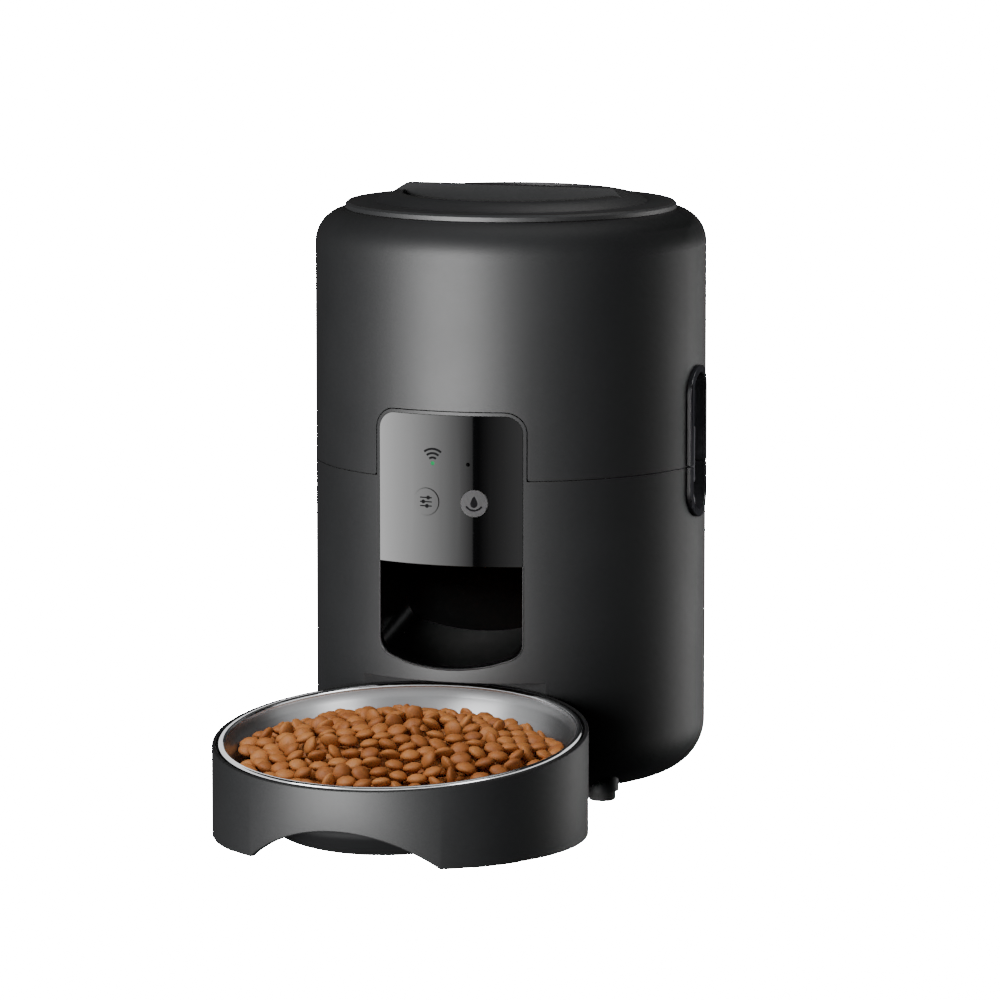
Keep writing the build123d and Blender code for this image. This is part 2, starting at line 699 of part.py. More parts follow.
def gear_motor():
    """The motor with its round gearbox, hung under the gear cover."""
    high = GEAR_COVER_LOW - 0.1
    gearbox = disc(MOTOR_R, high - GEARBOX_LENGTH, high, y=GEAR_DISTANCE)
    motor = disc(MOTOR_R - 3, high - MOTOR_LENGTH, high - GEARBOX_LENGTH, y=GEAR_DISTANCE)
    end = disc(4, high - MOTOR_LENGTH - 2, high - MOTOR_LENGTH, y=GEAR_DISTANCE)
    return gearbox + motor + end - disc(PINION_SHAFT_R + 1, high - 5, high + 1, y=GEAR_DISTANCE)


def screw(x, y, seat, length, downwards):
    """A pan-head screw with a cross recess, its head on a seat."""
    sign = 1 if downwards else -1
    head = Pos(x, y, seat + sign * HEAD_HEIGHT / 2) * Cylinder(HEAD_R, HEAD_HEIGHT)
    shank = Pos(x, y, seat - sign * length / 2) * Cylinder(SHANK_R, length)
    cross = Box(CROSS_LENGTH, CROSS_WIDTH, CROSS_DEPTH) + Box(CROSS_WIDTH, CROSS_LENGTH, CROSS_DEPTH)
    return head + shank - Pos(x, y, seat + sign * HEAD_HEIGHT) * cross


def deck_screws():
    """The screws that hold the deck to the base."""
    seat = FLANGE_Z + FLANGE_PLATE
    spots = [at_angle(DECK_SCREW_R, angle) for angle in DECK_SCREW_ANGLES]
    return Compound([screw(x, y, seat, 14, True) for x, y in spots])


def bottom_screws():
    """The screws that hold the bottom cover."""
    spots = [at_angle(COVER_SCREW_R, angle) for angle in COVER_SCREW_ANGLES]
    return Compound([screw(x, y, BASE_LOW + HEAD_SEAT, 6, False) for x, y in spots])


def gear_screws():
    """The screws that hold the gear cover up to the deck."""
    x = MODULE * WHEEL_TEETH / 2 + 8
    pair = [screw(side * x, 0, GEAR_COVER_LOW, 12, False) for side in (-1, 1)]
    return Compound(pair)


# ---- side locks ----
def lock_bezel(low, high):
    """Part of the pill-shaped bezel between two heights, on the +X side."""
    ring = pill(LOCK_HALF, LOCK_LOW, LOCK_HIGH)
    inner = pill(LOCK_HALF - LOCK_RIM, LOCK_LOW + LOCK_RIM, LOCK_HIGH - LOCK_RIM)
    bezel = along_x(ring - inner, TRAY_FRONT, OUTSIDE) & disc(BODY_R + LOCK_PROUD, low, high)
    crown = [e for e in bezel.edges().filter_by(GeomType.LINE, reverse=True)
             if e.center().X > BODY_R and e.length > 40]
    return fillet(crown, 1.0) if crown else bezel


def lock_tray(low, high):
    """Part of the tray behind the bezel, with the slider's track and its two ramps."""
    rim = LOCK_HALF - LOCK_RIM
    outer = along_x(pill(LOCK_HALF, LOCK_LOW, LOCK_HIGH), TRAY_BACK, TRAY_FRONT)
    hollow = pill(rim, LOCK_LOW + LOCK_RIM, LOCK_HIGH - LOCK_RIM)
    tray = outer - along_x(hollow, TRAY_BACK + TRAY_WALL, BODY_R)
    deep = TRAY_BACK + TRAY_WALL - 0.5
    shelf = TRAY_FRONT - 0.5
    ends = ((TRACK_HIGH, LOCK_HIGH - LOCK_RIM), (TRACK_LOW, LOCK_LOW + LOCK_RIM))
    for start, end in ends:
        face = outline((deep, start), (shelf, start), (BODY_R - 1.5, end), (deep, end))
        tray += along_y(face, -rim, rim) & along_x(hollow, TRAY_BACK, BODY_R)
    return tray & slab(0, BODY_R, -20, 20, low, high)


def lock_slider():
    """The slide with its grip ledge, dimple and hollow back."""
    back = TRAY_BACK + TRAY_WALL + 0.3
    half = SLIDER_HALF
    slider = slab(back, SLIDER_FRONT, -half, half, SLIDER_LOW, SLIDER_HIGH)
    upright = [e for e in slider.edges().filter_by(Axis.Y) if e.center().X > SLIDER_FRONT - 1]
    slider = chamfer(upright, 0.5)
    wall = SLIDER_WALL
    front = SLIDER_FRONT - wall
    slider -= slab(0, front, -half + wall, half - wall, SLIDER_LOW + wall, SLIDER_HIGH - wall)
    ball = Pos(SLIDER_FRONT + DIMPLE_R * 0.6, 0, DIMPLE_Z) * Sphere(DIMPLE_R * 1.2)
    return slider - ball


# ---- hopper ----
def drum_head(inset, low, high):
    """The upper drum with its rounded shoulder, inset by a wall."""
    drum = disc(BODY_R - inset, low, high)
    return fillet(drum.edges().group_by(Axis.Z)[-1], SHOULDER_EDGE - inset)


def alcove(grow):
    """The notch in the hopper that goes over the tower, grown by a gap and a wall."""
    block = tower_outline(ALCOVE_GAP + grow, SEAM_Z - 8)
    return along_y(block, -OUTSIDE, TOWER_BACK + ALCOVE_GAP + grow)


def hopper_shell():
    """The moulded hopper: wall, shoulder, mouth collar and the alcove for the tower."""
    low = SEAM_Z + SEAM_GAP
    inner = drum_head(WALL, low - 5, SHOULDER_Z - WALL)
    shell = drum_head(0, low, SHOULDER_Z) - (inner - alcove(ALCOVE_WALL))
    collar = disc(MOUTH_R + WALL, SHOULDER_Z - COLLAR_DEPTH, SHOULDER_Z - WALL / 2)
    shell = shell + collar - disc(MOUTH_R, SHOULDER_Z - COLLAR_DEPTH - 1, SHOULDER_Z + 1)
    shell -= alcove(0)
    shell &= disc(BODY_R + 1, low, SHOULDER_Z)
    side = TOWER_HALF + ALCOVE_GAP
    corners = [e for e in shell.edges().filter_by(Axis.Y)
               if abs(abs(e.center().X) - side) < RUN and abs(e.center().Z - low) < RUN]
    shell = fillet(corners, NOTCH_CORNER)
    return shell - lock_hole() - mirrored(lock_hole())


def hopper_funnel():
    """The cone that leads the food to the rotor."""
    low = SEAM_Z + SEAM_GAP
    outer = BODY_R - WALL - FIT
    wall = FUNNEL_WALL
    cone = turned((FUNNEL_R, low), (FUNNEL_R + wall, low), (FUNNEL_R + wall, low + 3),
                  (outer, FUNNEL_TOP - wall), (outer, FUNNEL_TOP + wall / 2),
                  (FUNNEL_R, low + 3 + wall))
    return cone - alcove(ALCOVE_WALL + FIT) - lock_clearance()


# ---- lid ----
def grip_prism(inset):
    """The bar across the lid: a steep front, a gentle back and bevelled ends."""
    top = LID_TOP + GRIP_RISE - inset
    low = LID_TOP - SCOOP_DEPTH - 8
    floor = LID_TOP - SCOOP_DEPTH
    face = outline((GRIP_FRONT + inset, low), (GRIP_FRONT + inset, floor), (GRIP_TOP[0] + inset / 2, top),
                   (GRIP_TOP[1] - inset / 2, top), (GRIP_BACK - inset, floor), (GRIP_BACK - inset, low))
    bar = along_x(face, -GRIP_FOOT_HALF, GRIP_FOOT_HALF)
    half = GRIP_HALF - inset / 2
    foot = GRIP_FOOT_HALF - inset
    ends = outline((-foot - 3, low), (-foot, LID_TOP + 1), (-half, top), (half, top),
                   (foot, LID_TOP + 1), (foot + 3, low))
    return bar & along_y(ends, -40, 60)


def cap_dome(inset):
    """The raised middle of the lid, with a convex flank."""
    top = LID_TOP + CAP_RISE - inset
    low = LID_TOP - SCOOP_DEPTH - 8
    rim = (CAP_R - inset, LID_TOP - inset / 2)
    lip = (CAP_LIP_R - inset, top)
    middle = ((rim[0] + lip[0]) / 2 + 0.7, (rim[1] + lip[1]) / 2 + 0.9)
    flank = ThreePointArc(rim, middle, lip)
    edges = Polyline(lip, (0, top), (0, low), (CAP_R - inset, low), rim)
    return revolve(Plane.XZ * make_face(flank + edges), Axis.Z)


def scoops(grow):
    """The finger spaces in front of and behind the grip, grown by a wall."""
    well = disc(SCOOP_R + grow, LID_TOP - SCOOP_DEPTH - grow, LID_TOP + 20)
    return well - grip_prism(grow)


def lid_cover():
    """The lid: its flange, raised middle, grip, finger spaces and plug skirt."""
    plug_low = LID_TOP - SCOOP_DEPTH - 4
    flange = disc(LID_R, SHOULDER_Z + 0.1, LID_TOP)
    flange = chamfer(flange.edges().group_by(Axis.Z)[-1], LID_BEVEL)
    above = disc(LID_R, plug_low, LID_TOP + 20)
    middle = cap_dome(0) + (grip_prism(0) & disc(CAP_R, 0, LID_TOP + 20))
    skirt = disc(SEAL_IN, plug_low, LID_TOP - 0.5)
    hollow = cap_dome(LID_WALL) + (grip_prism(LID_WALL) & disc(CAP_R - LID_WALL, 0, LID_TOP + 20))
    cover = (flange + skirt + middle - scoops(0)) & above
    cover -= (hollow - scoops(LID_WALL)) & disc(CAP_R - LID_WALL, plug_low - 9, LID_TOP + 20)
    groove = disc(SEAL_IN + 1, SEAL_Z, SEAL_Z + SEAL_HEIGHT) - disc(SEAL_IN - 1, 0, THROUGH)
    return cover - groove


def lid_seal():
    """The soft ring round the plug."""
    ring = disc(SEAL_OUT, SEAL_Z, SEAL_Z + SEAL_HEIGHT) - disc(SEAL_IN - 1, 0, THROUGH)
    return fillet(ring.edges().sort_by(lambda e: -e.length)[0:2], 0.6)


def desiccant_box():
    """The slotted box for the drying agent, with ears for its door."""
    half = DRY_HALF
    wall = DRY_WALL
    box = slab(-half, half, -half, half, DRY_LOW, DRY_HIGH)
    box -= slab(-half + wall, half - wall, -half + wall, half - wall, DRY_LOW - 1, DRY_HIGH - wall)
    for i in range(-3, 4):
        x = i * SLOT_PITCH
        box -= slab(x - SLOT_HALF, x + SLOT_HALF, -half - 1, half + 1, DRY_LOW + 3, DRY_HIGH - 3)
    hinge_y = half + HINGE_R + HINGE_GAP
    for side in (-1, 1):
        x = side * (half - EAR_THICK / 2)
        ear = slab(x - EAR_THICK / 2, x + EAR_THICK / 2, half - 0.1, hinge_y + EAR_REACH,
                   DRY_LOW - EAR_REACH, DRY_LOW + EAR_THICK)
        ear -= Pos(x, hinge_y, DRY_LOW) * Rot(Y=90) * Cylinder(HINGE_R + RUN, 10)
        box += ear
    return box


def desiccant_door():
    """The door of the box, turning on its own stub pins."""
    half = DRY_HALF
    low = DRY_LOW - DRY_DOOR_THICK - FIT
    hinge_y = half + HINGE_R + HINGE_GAP
    inner = half - EAR_THICK - CLEAR
    door = slab(-half, half, -half, half - EAR_ROOM, low, DRY_LOW - FIT)
    door += slab(-inner, inner, half - EAR_ROOM - 1, hinge_y, low, DRY_LOW - FIT)
    for i in range(-3, 4):
        x = i * SLOT_PITCH
        door -= slab(x - SLOT_HALF, x + SLOT_HALF, -half + 6, half - 6, low - 1, DRY_LOW)
    barrel = Pos(0, hinge_y, DRY_LOW) * Rot(Y=90) * Cylinder(HINGE_R, 2 * (half - 0.4))
    knuckle = Pos(0, hinge_y, DRY_LOW) * Rot(Y=90) * Cylinder(HINGE_R + KNUCKLE_WALL, 2 * inner)
    return door + barrel + (knuckle - slab(-half, half, 0, hinge_y, DRY_LOW + 0.5, DRY_LOW + 9))


# ---- bowl ----
def dish_profile(inset):
    """The dish's inner (radius, depth) profile from the bead to the floor, inset by a gap."""
    bead_in = BEAD_R - 2 * BEAD_THICK
    return [(bead_in - inset, -BEAD_THICK), (bead_in - 0.6 - inset, -STEP_DEPTH + 1.5),
            (bead_in - STEP_IN - inset, -STEP_DEPTH), (DISH_WALL_LOW_R - inset, -DISH_WALL_LOW + inset / 2),
            (DISH_FLOOR_R - inset, -DISH_DEPTH + inset)]


def steel_bowl():
    """The pressed steel dish with its rolled rim."""
    inner = dish_profile(0)
    outer = dish_profile(-STEEL)
    points = inner + [(0, -DISH_DEPTH)] + [(0, -DISH_DEPTH - STEEL)] + list(reversed(outer))
    dish = turned(*points)
    low_edges = [e for e in dish.edges().filter_by(GeomType.CIRCLE)
                 if e.center().Z < -DISH_WALL_LOW + 1 and e.radius > DISH_FLOOR_R - 2]
    dish = fillet(low_edges, 8)
    bead = revolve(Plane.XZ * (Pos(BEAD_R - BEAD_THICK, -BEAD_THICK) * Circle(BEAD_THICK)), Axis.Z)
    return DISH_FRAME * (dish + bead)


def kibble():
    """The heap of dry food in the dish, as one plain solid with a level top."""
    points = dish_profile(CLEAR)[1:]
    brim = (BEAD_R - 2 * BEAD_THICK - CLEAR, 9.0)
    filling = DISH_FRAME * turned((0, 9.0), brim, *points, (0, -DISH_DEPTH + CLEAR))
    reach = BOWL_OFFSET + 2 * BEAD_R
    return filling - slab(-reach, reach, -reach, reach, HEAP_Z, HEAP_Z + 2 * BEAD_R)


def bowl_stand():
    """The stand: a round wall cut along the tilted rim, a cup for the dish and the front arch."""
    inner = STAND_R - STAND_WALL
    ledge = -2 * BEAD_THICK
    keep = DISH_FRAME * disc(2 * STAND_R, -200, -0.6)
    body = disc(STAND_R, PAD_HEIGHT, RIM_Z + 40, y=-BOWL_OFFSET) & keep
    body -= disc(inner, -1, RIM_Z + 60, y=-BOWL_OFFSET) - DISH_FRAME * disc(2 * STAND_R, ledge - 2.2, 1)
    upper = BEAD_R - 2 * BEAD_THICK - 0.6 + STEEL + CUP_GAP
    middle = DISH_WALL_LOW_R + STEEL + 2.4 * CUP_GAP
    low = DISH_FLOOR_R + STEEL + 2.4 * CUP_GAP
    floor = -DISH_DEPTH - STEEL - 2 * CUP_GAP
    cup = turned((0, ledge), (upper + CUP_WALL, ledge), (middle + CUP_WALL, -DISH_WALL_LOW - 1),
                 (low, floor - CUP_WALL), (0, floor - CUP_WALL))
    hollow = turned((0, 5), (upper, 5), (upper, ledge), (middle, -DISH_WALL_LOW - 1),
                    (low - CUP_WALL, floor), (0, floor))
    body += (DISH_FRAME * cup) & disc(STAND_R - 0.5, PAD_HEIGHT, RIM_Z + 40, y=-BOWL_OFFSET)
    body -= DISH_FRAME * hollow
    body -= DISH_FRAME * disc(STAND_R - STAND_RIM_WALL, ledge, 20)
    arch_r = (ARCH_HALF ** 2 + ARCH_RISE ** 2) / (2 * ARCH_RISE)
    wall_only = disc(STAND_R + 5, -1, RIM_Z) - disc(inner - 0.5, -2, RIM_Z + 1)
    arch = rod_y(arch_r, -2 * STAND_R, 0, 0, ARCH_RISE - arch_r) & wall_only
    body -= Pos(0, -BOWL_OFFSET, 0) * arch
    for angle in PAD_ANGLES:
        body -= stand_pad(angle, 2.0)
    return body


def stand_pad(angle, high):
    """A curved strip under the stand's wall."""
    strip = sector(STAND_R - STAND_WALL, STAND_R - 0.3, PAD_ANGLE, 0, high)
    return Pos(0, -BOWL_OFFSET, 0) * around(strip, angle)


def bowl_pads():
    """The four rubber strips that the stand rests on."""
    return Compound([stand_pad(angle, 2.0) for angle in PAD_ANGLES])


def main():
    """Build every node and write it."""
    os.makedirs("parts", exist_ok=True)
    split_low = SEAM_Z
    split_high = SEAM_Z + SEAM_GAP
    bezel_low = lock_bezel(LOCK_LOW - 1, split_low)
    bezel_high = lock_bezel(split_high, LOCK_HIGH + 1)
    tray_low = lock_tray(LOCK_LOW - 1, split_low)
    tray_high = lock_tray(split_high, LOCK_HIGH + 1)
    pairs = {"lock_bezel_lower": bezel_low, "lock_bezel_upper": bezel_high,
             "lock_keeper": tray_low, "lock_track": tray_high, "lock_slider": lock_slider()}
    for name, shape in pairs.items():
        write(name + "_right", shape)
        write(name + "_left", mirrored(shape))
    singles = (base_shell, bottom_cover, battery_box, battery_door, battery_contacts, rubber_feet,
               power_socket, main_board, front_panel, button_board, signal_led, microphone,
               tower_back_cover, food_chute, sensor_window, rotor_deck, shaft_bush, rotor_wheel,
               rotor_shaft, drive_gear, motor_pinion, gear_cover, gear_motor, deck_screws,
               bottom_screws, gear_screws, hopper_shell, hopper_funnel, lid_cover, lid_seal,
               desiccant_box, desiccant_door, steel_bowl, kibble, bowl_stand, bowl_pads)
    for make in singles:
        write(make.__name__, make())
    write("set_button", control_button(SET_BUTTON_X))
    write("feed_button", control_button(FEED_BUTTON_X))


main()
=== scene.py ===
"""Looks for a countertop pet feeder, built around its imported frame.

Each sub-assembly is a class that holds its sizes and builds its surfaces. Lengths are metres in
the frame's own axes, with +Z up, the floor at zero and the bowl towards -Y, unless a class says
millimetres.
"""
from __future__ import annotations

import json
import logging
import math
from collections.abc import Sequence
from dataclasses import dataclass
from enum import Enum

import bmesh
import bpy
import numpy as np
from mathutils import Matrix, Vector

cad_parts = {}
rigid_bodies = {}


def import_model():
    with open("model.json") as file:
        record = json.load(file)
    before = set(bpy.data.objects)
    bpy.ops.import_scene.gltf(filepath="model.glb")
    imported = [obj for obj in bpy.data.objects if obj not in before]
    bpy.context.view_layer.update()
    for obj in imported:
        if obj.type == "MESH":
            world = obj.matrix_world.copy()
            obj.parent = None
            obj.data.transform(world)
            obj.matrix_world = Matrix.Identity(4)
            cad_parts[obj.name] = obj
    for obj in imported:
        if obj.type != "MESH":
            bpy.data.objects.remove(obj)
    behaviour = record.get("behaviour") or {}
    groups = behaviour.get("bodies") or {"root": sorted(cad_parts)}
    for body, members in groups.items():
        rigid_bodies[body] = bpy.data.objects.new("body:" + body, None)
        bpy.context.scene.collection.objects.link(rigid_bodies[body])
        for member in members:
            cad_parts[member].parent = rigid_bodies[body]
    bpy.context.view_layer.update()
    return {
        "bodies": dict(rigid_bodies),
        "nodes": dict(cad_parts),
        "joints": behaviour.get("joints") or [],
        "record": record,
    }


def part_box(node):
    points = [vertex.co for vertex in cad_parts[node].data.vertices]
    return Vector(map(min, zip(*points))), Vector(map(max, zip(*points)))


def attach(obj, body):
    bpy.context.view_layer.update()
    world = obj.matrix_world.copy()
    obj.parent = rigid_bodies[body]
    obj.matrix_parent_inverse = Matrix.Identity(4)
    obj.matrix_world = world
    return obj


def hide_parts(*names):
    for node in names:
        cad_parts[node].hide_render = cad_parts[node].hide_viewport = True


LOG = logging.getLogger("feeder")
MM = 0.001
RIM_Z = 0.0451

FULL_TURN = 2.0 * math.pi

Array = np.ndarray
Colour = tuple[float, float, float]
Material = bpy.types.Material
Object = bpy.types.Object
Socket = bpy.types.NodeSocket


class Tone(Enum):
    """The object's own colours, linear, except the mouth edge's, which is painted lighter to show
    a highlight.
    """

    SHELL = (0.0062, 0.0064, 0.0069)
    INNER = (0.02, 0.0205, 0.022)
    BEZEL = (0.016, 0.0165, 0.019)
    TRAY = (0.16, 0.165, 0.17)
    SLIDER = (0.075, 0.077, 0.082)
    GLOSS = (0.0035, 0.0035, 0.004)
    BUTTON_GREY = (0.16, 0.16, 0.165)
    PRINT = (0.62, 0.64, 0.66)
    PRINT_DARK = (0.012, 0.012, 0.014)
    # Painted highlight: the mouth edge is the shell's plastic, coloured about eight times lighter
    # so it reads as a bright line.
    EDGE = (0.05, 0.05, 0.052)
    LAMP = (0.0, 0.42, 0.12)
    STEEL = (0.46, 0.465, 0.475)
    RUBBER = (0.012, 0.012, 0.012)
    SEAL = (0.5, 0.51, 0.52)
    ACETAL = (0.72, 0.71, 0.66)
    PADDLE = (0.13, 0.135, 0.14)
    BRONZE = (0.42, 0.25, 0.09)
    LAMINATE = (0.01, 0.09, 0.035)
    WINDOW = (0.02, 0.004, 0.006)
    FOOD_LIGHT = (0.6, 0.24, 0.065)
    FOOD_MID = (0.47, 0.165, 0.038)
    FOOD_DARK = (0.3, 0.09, 0.018)


# ---------------------------------------------------------------- shader arithmetic


class Link:
    """A shader socket that can be used in Python arithmetic."""

    def __init__(self, graph: Graph, socket: Socket) -> None:
        """Keeps the socket and the graph that new Math nodes go into."""
        self.graph = graph
        self.socket = socket

    def _math(self, operation: str, left: Link | float, right: Link | float) -> Link:
        """The result of a new Math node with these two operands."""
        node = self.graph.node("ShaderNodeMath", {"operation": operation}, {0: left, 1: right})
        return Link(self.graph, node.outputs[0])

    def __add__(self, other: Link | float) -> Link:
        """Self plus other."""
        return self._math("ADD", self, other)

    __radd__ = __add__

    def __sub__(self, other: Link | float) -> Link:
        """Self minus other."""
        return self._math("SUBTRACT", self, other)

    def __rsub__(self, other: Link | float) -> Link:
        """Other minus self."""
        return self._math("SUBTRACT", other, self)

    def __mul__(self, other: Link | float) -> Link:
        """Self times other."""
        return self._math("MULTIPLY", self, other)

    __rmul__ = __mul__

    def __truediv__(self, other: Link | float) -> Link:
        """Self over other."""
        return self._math("DIVIDE", self, other)

    def __pow__(self, other: float) -> Link:
        """Self to a power."""
        return self._math("POWER", self, other)

    def over(self, level: float, soft: float) -> Link:
        """A mask that rises from 0 to 1 as self passes a level.

        Args:
            level: The middle of the rise.
            soft: Half the width of the rise.

        Returns:
            The mask.
        """
        inputs = {0: self, 1: level - soft, 2: level + soft, 3: 0.0, 4: 1.0}
        settings = {"interpolation_type": "SMOOTHSTEP"}
        node = self.graph.node("ShaderNodeMapRange", settings, inputs)
        return Link(self.graph, node.outputs[0])


class Graph:
    """The node tree of one material, with a Principled shader already linked."""

    def __init__(self, name: str) -> None:
        """Makes the material and empties its tree but for shader and output."""
        self.material = bpy.data.materials.new(name)
        self.material.use_nodes = True
        self.tree = self.material.node_tree
        self.tree.nodes.clear()
        self.shader = self.node("ShaderNodeBsdfPrincipled", {}, {})
        self.node("ShaderNodeOutputMaterial", {}, {"Surface": self.shader.outputs[0]})

    def node(self, kind: str, settings: dict, inputs: dict) -> bpy.types.Node:
        """Adds any node.

        Args:
            kind: The node's type name.
            settings: Attributes to set first; "stops" holds a ramp's (place, colour) pairs.
            inputs: Values or links by socket name or number.

        Returns:
            The new node.
        """
        node = self.tree.nodes.new(kind)
        for key, value in settings.items():
            if key == "stops":
                ramp = node.color_ramp.elements
                while len(ramp) < len(value):
                    ramp.new(0.5)
                for element, (place, colour) in zip(ramp, value):
                    element.position = place
                    element.color = (*colour, 1.0)
            else:
                setattr(node, key, value)
        for key, value in inputs.items():
            self.feed(node, key, value)
        return node

    def feed(self, node: bpy.types.Node, key: str | int, value: object) -> None:
        """Sets one socket to a value, or links it.

        Args:
            node: The node to feed.
            key: Socket name or number.
            value: A number, a vector, a socket or a Link.
        """
        socket = node.inputs[key]
        if isinstance(value, Link):
            value = value.socket
        if isinstance(value, Socket):
            self.tree.links.new(value, socket)
        elif isinstance(value, tuple) and len(value) == 3 and socket.type == "RGBA":
            socket.default_value = (*value, 1.0)
        else:
            socket.default_value = value

    def place(self) -> Socket:
        """The object's own coordinates, in metres."""
        return self.node("ShaderNodeTexCoord", {}, {}).outputs["Object"]

    def noise(self, where: object, scale: float, detail: float = 3.0, rough: float = 0.55) -> Link:
        """Noise at a place, with cells per metre, octaves and the finer octaves' weight."""
        inputs = {"Vector": where, "Scale": scale, "Detail": detail, "Roughness": rough}
        return Link(self, self.node("ShaderNodeTexNoise", {}, inputs).outputs[0])

    def blend(self, amount: object, low: object, high: object) -> Socket:
        """The colour an amount of the way from low to high."""
        node = self.node("ShaderNodeMix", {"data_type": "RGBA"}, {0: amount, 6: low, 7: high})
        return node.outputs[2]

    def bump(self, height: Link, distance: float, strength: float) -> None:
        """Feeds a height to the shader's normal; 1 stands for the distance in metres."""
        inputs = {"Height": height, "Distance": distance, "Strength": strength}
        self.feed(self.shader, "Normal", self.node("ShaderNodeBump", {}, inputs).outputs[0])

    def finish(self, **sockets: object) -> Material:
        """Feeds the shader's sockets, with underscores for spaces, and returns the material."""
        for key, value in sockets.items():
            self.feed(self.shader, key.replace("_", " "), value)
        return self.material


def lighter(colour: Colour, factor: float) -> Colour:
    """A colour times a factor."""
    return tuple(min(1.0, c * factor) for c in colour)


# ---------------------------------------------------------------- finishes


@dataclass(frozen=True)
class MouldedPlastic:
    """Moulded plastic with a fine eroded grain and slightly uneven sheen."""

    name: str
    tone: Tone
    roughness: float = 0.42
    grain: float = 1500.0
    depth: float = 0.35
    uneven: float = 0.07

    def make(self) -> Material:
        """Builds the material: two grains in the bump, slow patches in colour and roughness."""
        g = Graph(self.name)
        where = g.place()
        patches = g.noise(where, 22.0, 2.0)
        flecks = g.noise(where, 420.0, 2.0)
        fine = g.noise(where, self.grain, 2.0, 0.6)
        coarse = g.noise(where, self.grain * 0.4, 2.0)
        colour = g.blend(patches * 0.6 + flecks * 0.4, lighter(self.tone.value, 0.8),
                         lighter(self.tone.value, 1.25))
        g.bump(fine * 0.65 + coarse * 0.35, 0.00006, self.depth)
        middle = self.roughness - self.uneven * 0.75
        rough = patches * self.uneven + flecks * (self.uneven * 0.5) + middle
        return g.finish(Base_Color=colour, Roughness=rough, Specular_IOR_Level=0.5)


@dataclass(frozen=True)
class PolishedPlastic:
    """Polished black plastic with a trace of orange peel and wiping marks."""

    name: str
    tone: Tone
    roughness: float = 0.06
    peel: float = 0.02

    def make(self) -> Material:
        """Builds the material: a slow bump, and wipe marks that dull the gloss a little."""
        g = Graph(self.name)
        where = g.place()
        stretched = g.node("ShaderNodeMapping", {}, {"Vector": where, "Scale": (9.0, 9.0, 60.0),
                                                     "Rotation": (0.3, 0.5, 0.0)}).outputs[0]
        wipes = g.noise(stretched, 1.2, 4.0, 0.65)
        peel = g.noise(where, 260.0, 1.0)
        dust = g.noise(where, 900.0, 2.0).over(0.72, 0.05)
        g.bump(peel, 0.00003, self.peel)
        colour = g.blend(dust * 0.3, self.tone.value, lighter(self.tone.value, 3.0))
        rough = wipes * 0.05 + dust * 0.12 + (self.roughness - 0.02)
        return g.finish(Base_Color=colour, Roughness=rough, Coat_Weight=0.35, Coat_Roughness=0.03)


@dataclass(frozen=True)
class SpunSteel:
    """Satin stainless steel with fine rings turned about the dish's tilted axis, and a rolled bead
    whose colour is painted lighter as a highlight.
    """

    name: str
    centre: tuple[float, float, float]
    tilt: float
    roughness: float = 0.3
    bead_r: float = 0.0777
    bead_soft: float = 0.0003

    def make(self) -> Material:
        """Builds the material: noise read along the radius, so its streaks run round the dish."""
        g = Graph(self.name)
        where = g.place()
        shift = tuple(-c for c in self.centre)
        moved = g.node("ShaderNodeVectorMath", {"operation": "ADD"}, {0: where, 1: shift})
        lean = {"Vector": moved.outputs[0], "Rotation": (-self.tilt, 0.0, 0.0)}
        turned = g.node("ShaderNodeMapping", {}, lean)
        split = g.node("ShaderNodeSeparateXYZ", {}, {0: turned.outputs[0]})
        x, y, z = (Link(g, split.outputs[i]) for i in range(3))
        radius = (x * x + y * y) ** 0.5
        safe = radius + 0.0005
        ring, broad = (
            g.node("ShaderNodeCombineXYZ", {}, {0: x / safe * turns, 1: y / safe * turns,
                                                2: (radius + z) * scale}).outputs[0]
            for turns, scale in ((0.9, 2600.0), (1.6, 320.0)))
        lines = g.noise(ring, 1.0, 3.0, 0.7)
        bands = g.noise(broad, 1.0, 2.0)
        smears = g.noise(where, 40.0, 3.0)
        # The bead mask: the steel there is smoother, which is real polish, and its colour is
        # painted lighter, which is a painted highlight.
        bead = radius.over(self.bead_r, self.bead_soft)
        grey = g.blend(lines * 0.5 + bands * 0.5, lighter(Tone.STEEL.value, 0.5),
                       lighter(Tone.STEEL.value, 0.66))
        # Painted highlight: the bead's colour is 1.5 times the steel tone, two to three times the
        # rest of the dish, so the rolled edge reads as a bright line.
        colour = g.blend(bead, grey, lighter(Tone.STEEL.value, 1.5))
        g.bump(lines, 0.00002, 0.16)
        satin = lines * 0.1 + bands * 0.06 + smears * 0.06 + (self.roughness - 0.1)
        rough = satin * (1 - bead) + bead * 0.12
        return g.finish(Base_Color=colour, Roughness=rough, Metallic=1.0)


@dataclass(frozen=True)
class PlainMetal:
    """Small turned, plated or sintered metal parts."""

    name: str
    colour: Colour
    roughness: float = 0.3

    def make(self) -> Material:
        """Builds the material: fine scratches and a faint tarnish."""
        g = Graph(self.name)
        where = g.place()
        scratch = g.noise(where, 1800.0, 2.0, 0.7)
        tarnish = g.noise(where, 130.0, 3.0)
        colour = g.blend(tarnish, lighter(self.colour, 0.75), lighter(self.colour, 1.15))
        g.bump(scratch, 0.00002, 0.15)
        rough = scratch * 0.12 + tarnish * 0.1 + (self.roughness - 0.1)
        return g.finish(Base_Color=colour, Roughness=rough, Metallic=1.0)


@dataclass(frozen=True)
class SoftRubber:
    """Rubber or silicone with a powdery surface."""

    name: str
    tone: Tone
    roughness: float = 0.75

    def make(self) -> Material:
        """Builds the material: a dusty lift in colour and a pebbled bump."""
        g = Graph(self.name)
        where = g.place()
        dust = g.noise(where, 260.0, 3.0).over(0.55, 0.2)
        pebble = g.noise(where, 1300.0, 2.0)
        colour = g.blend(dust * 0.5, self.tone.value, lighter(self.tone.value, 2.2))
        g.bump(pebble, 0.00008, 0.3)
        return g.finish(Base_Color=colour, Roughness=dust * 0.1 + (self.roughness - 0.05))


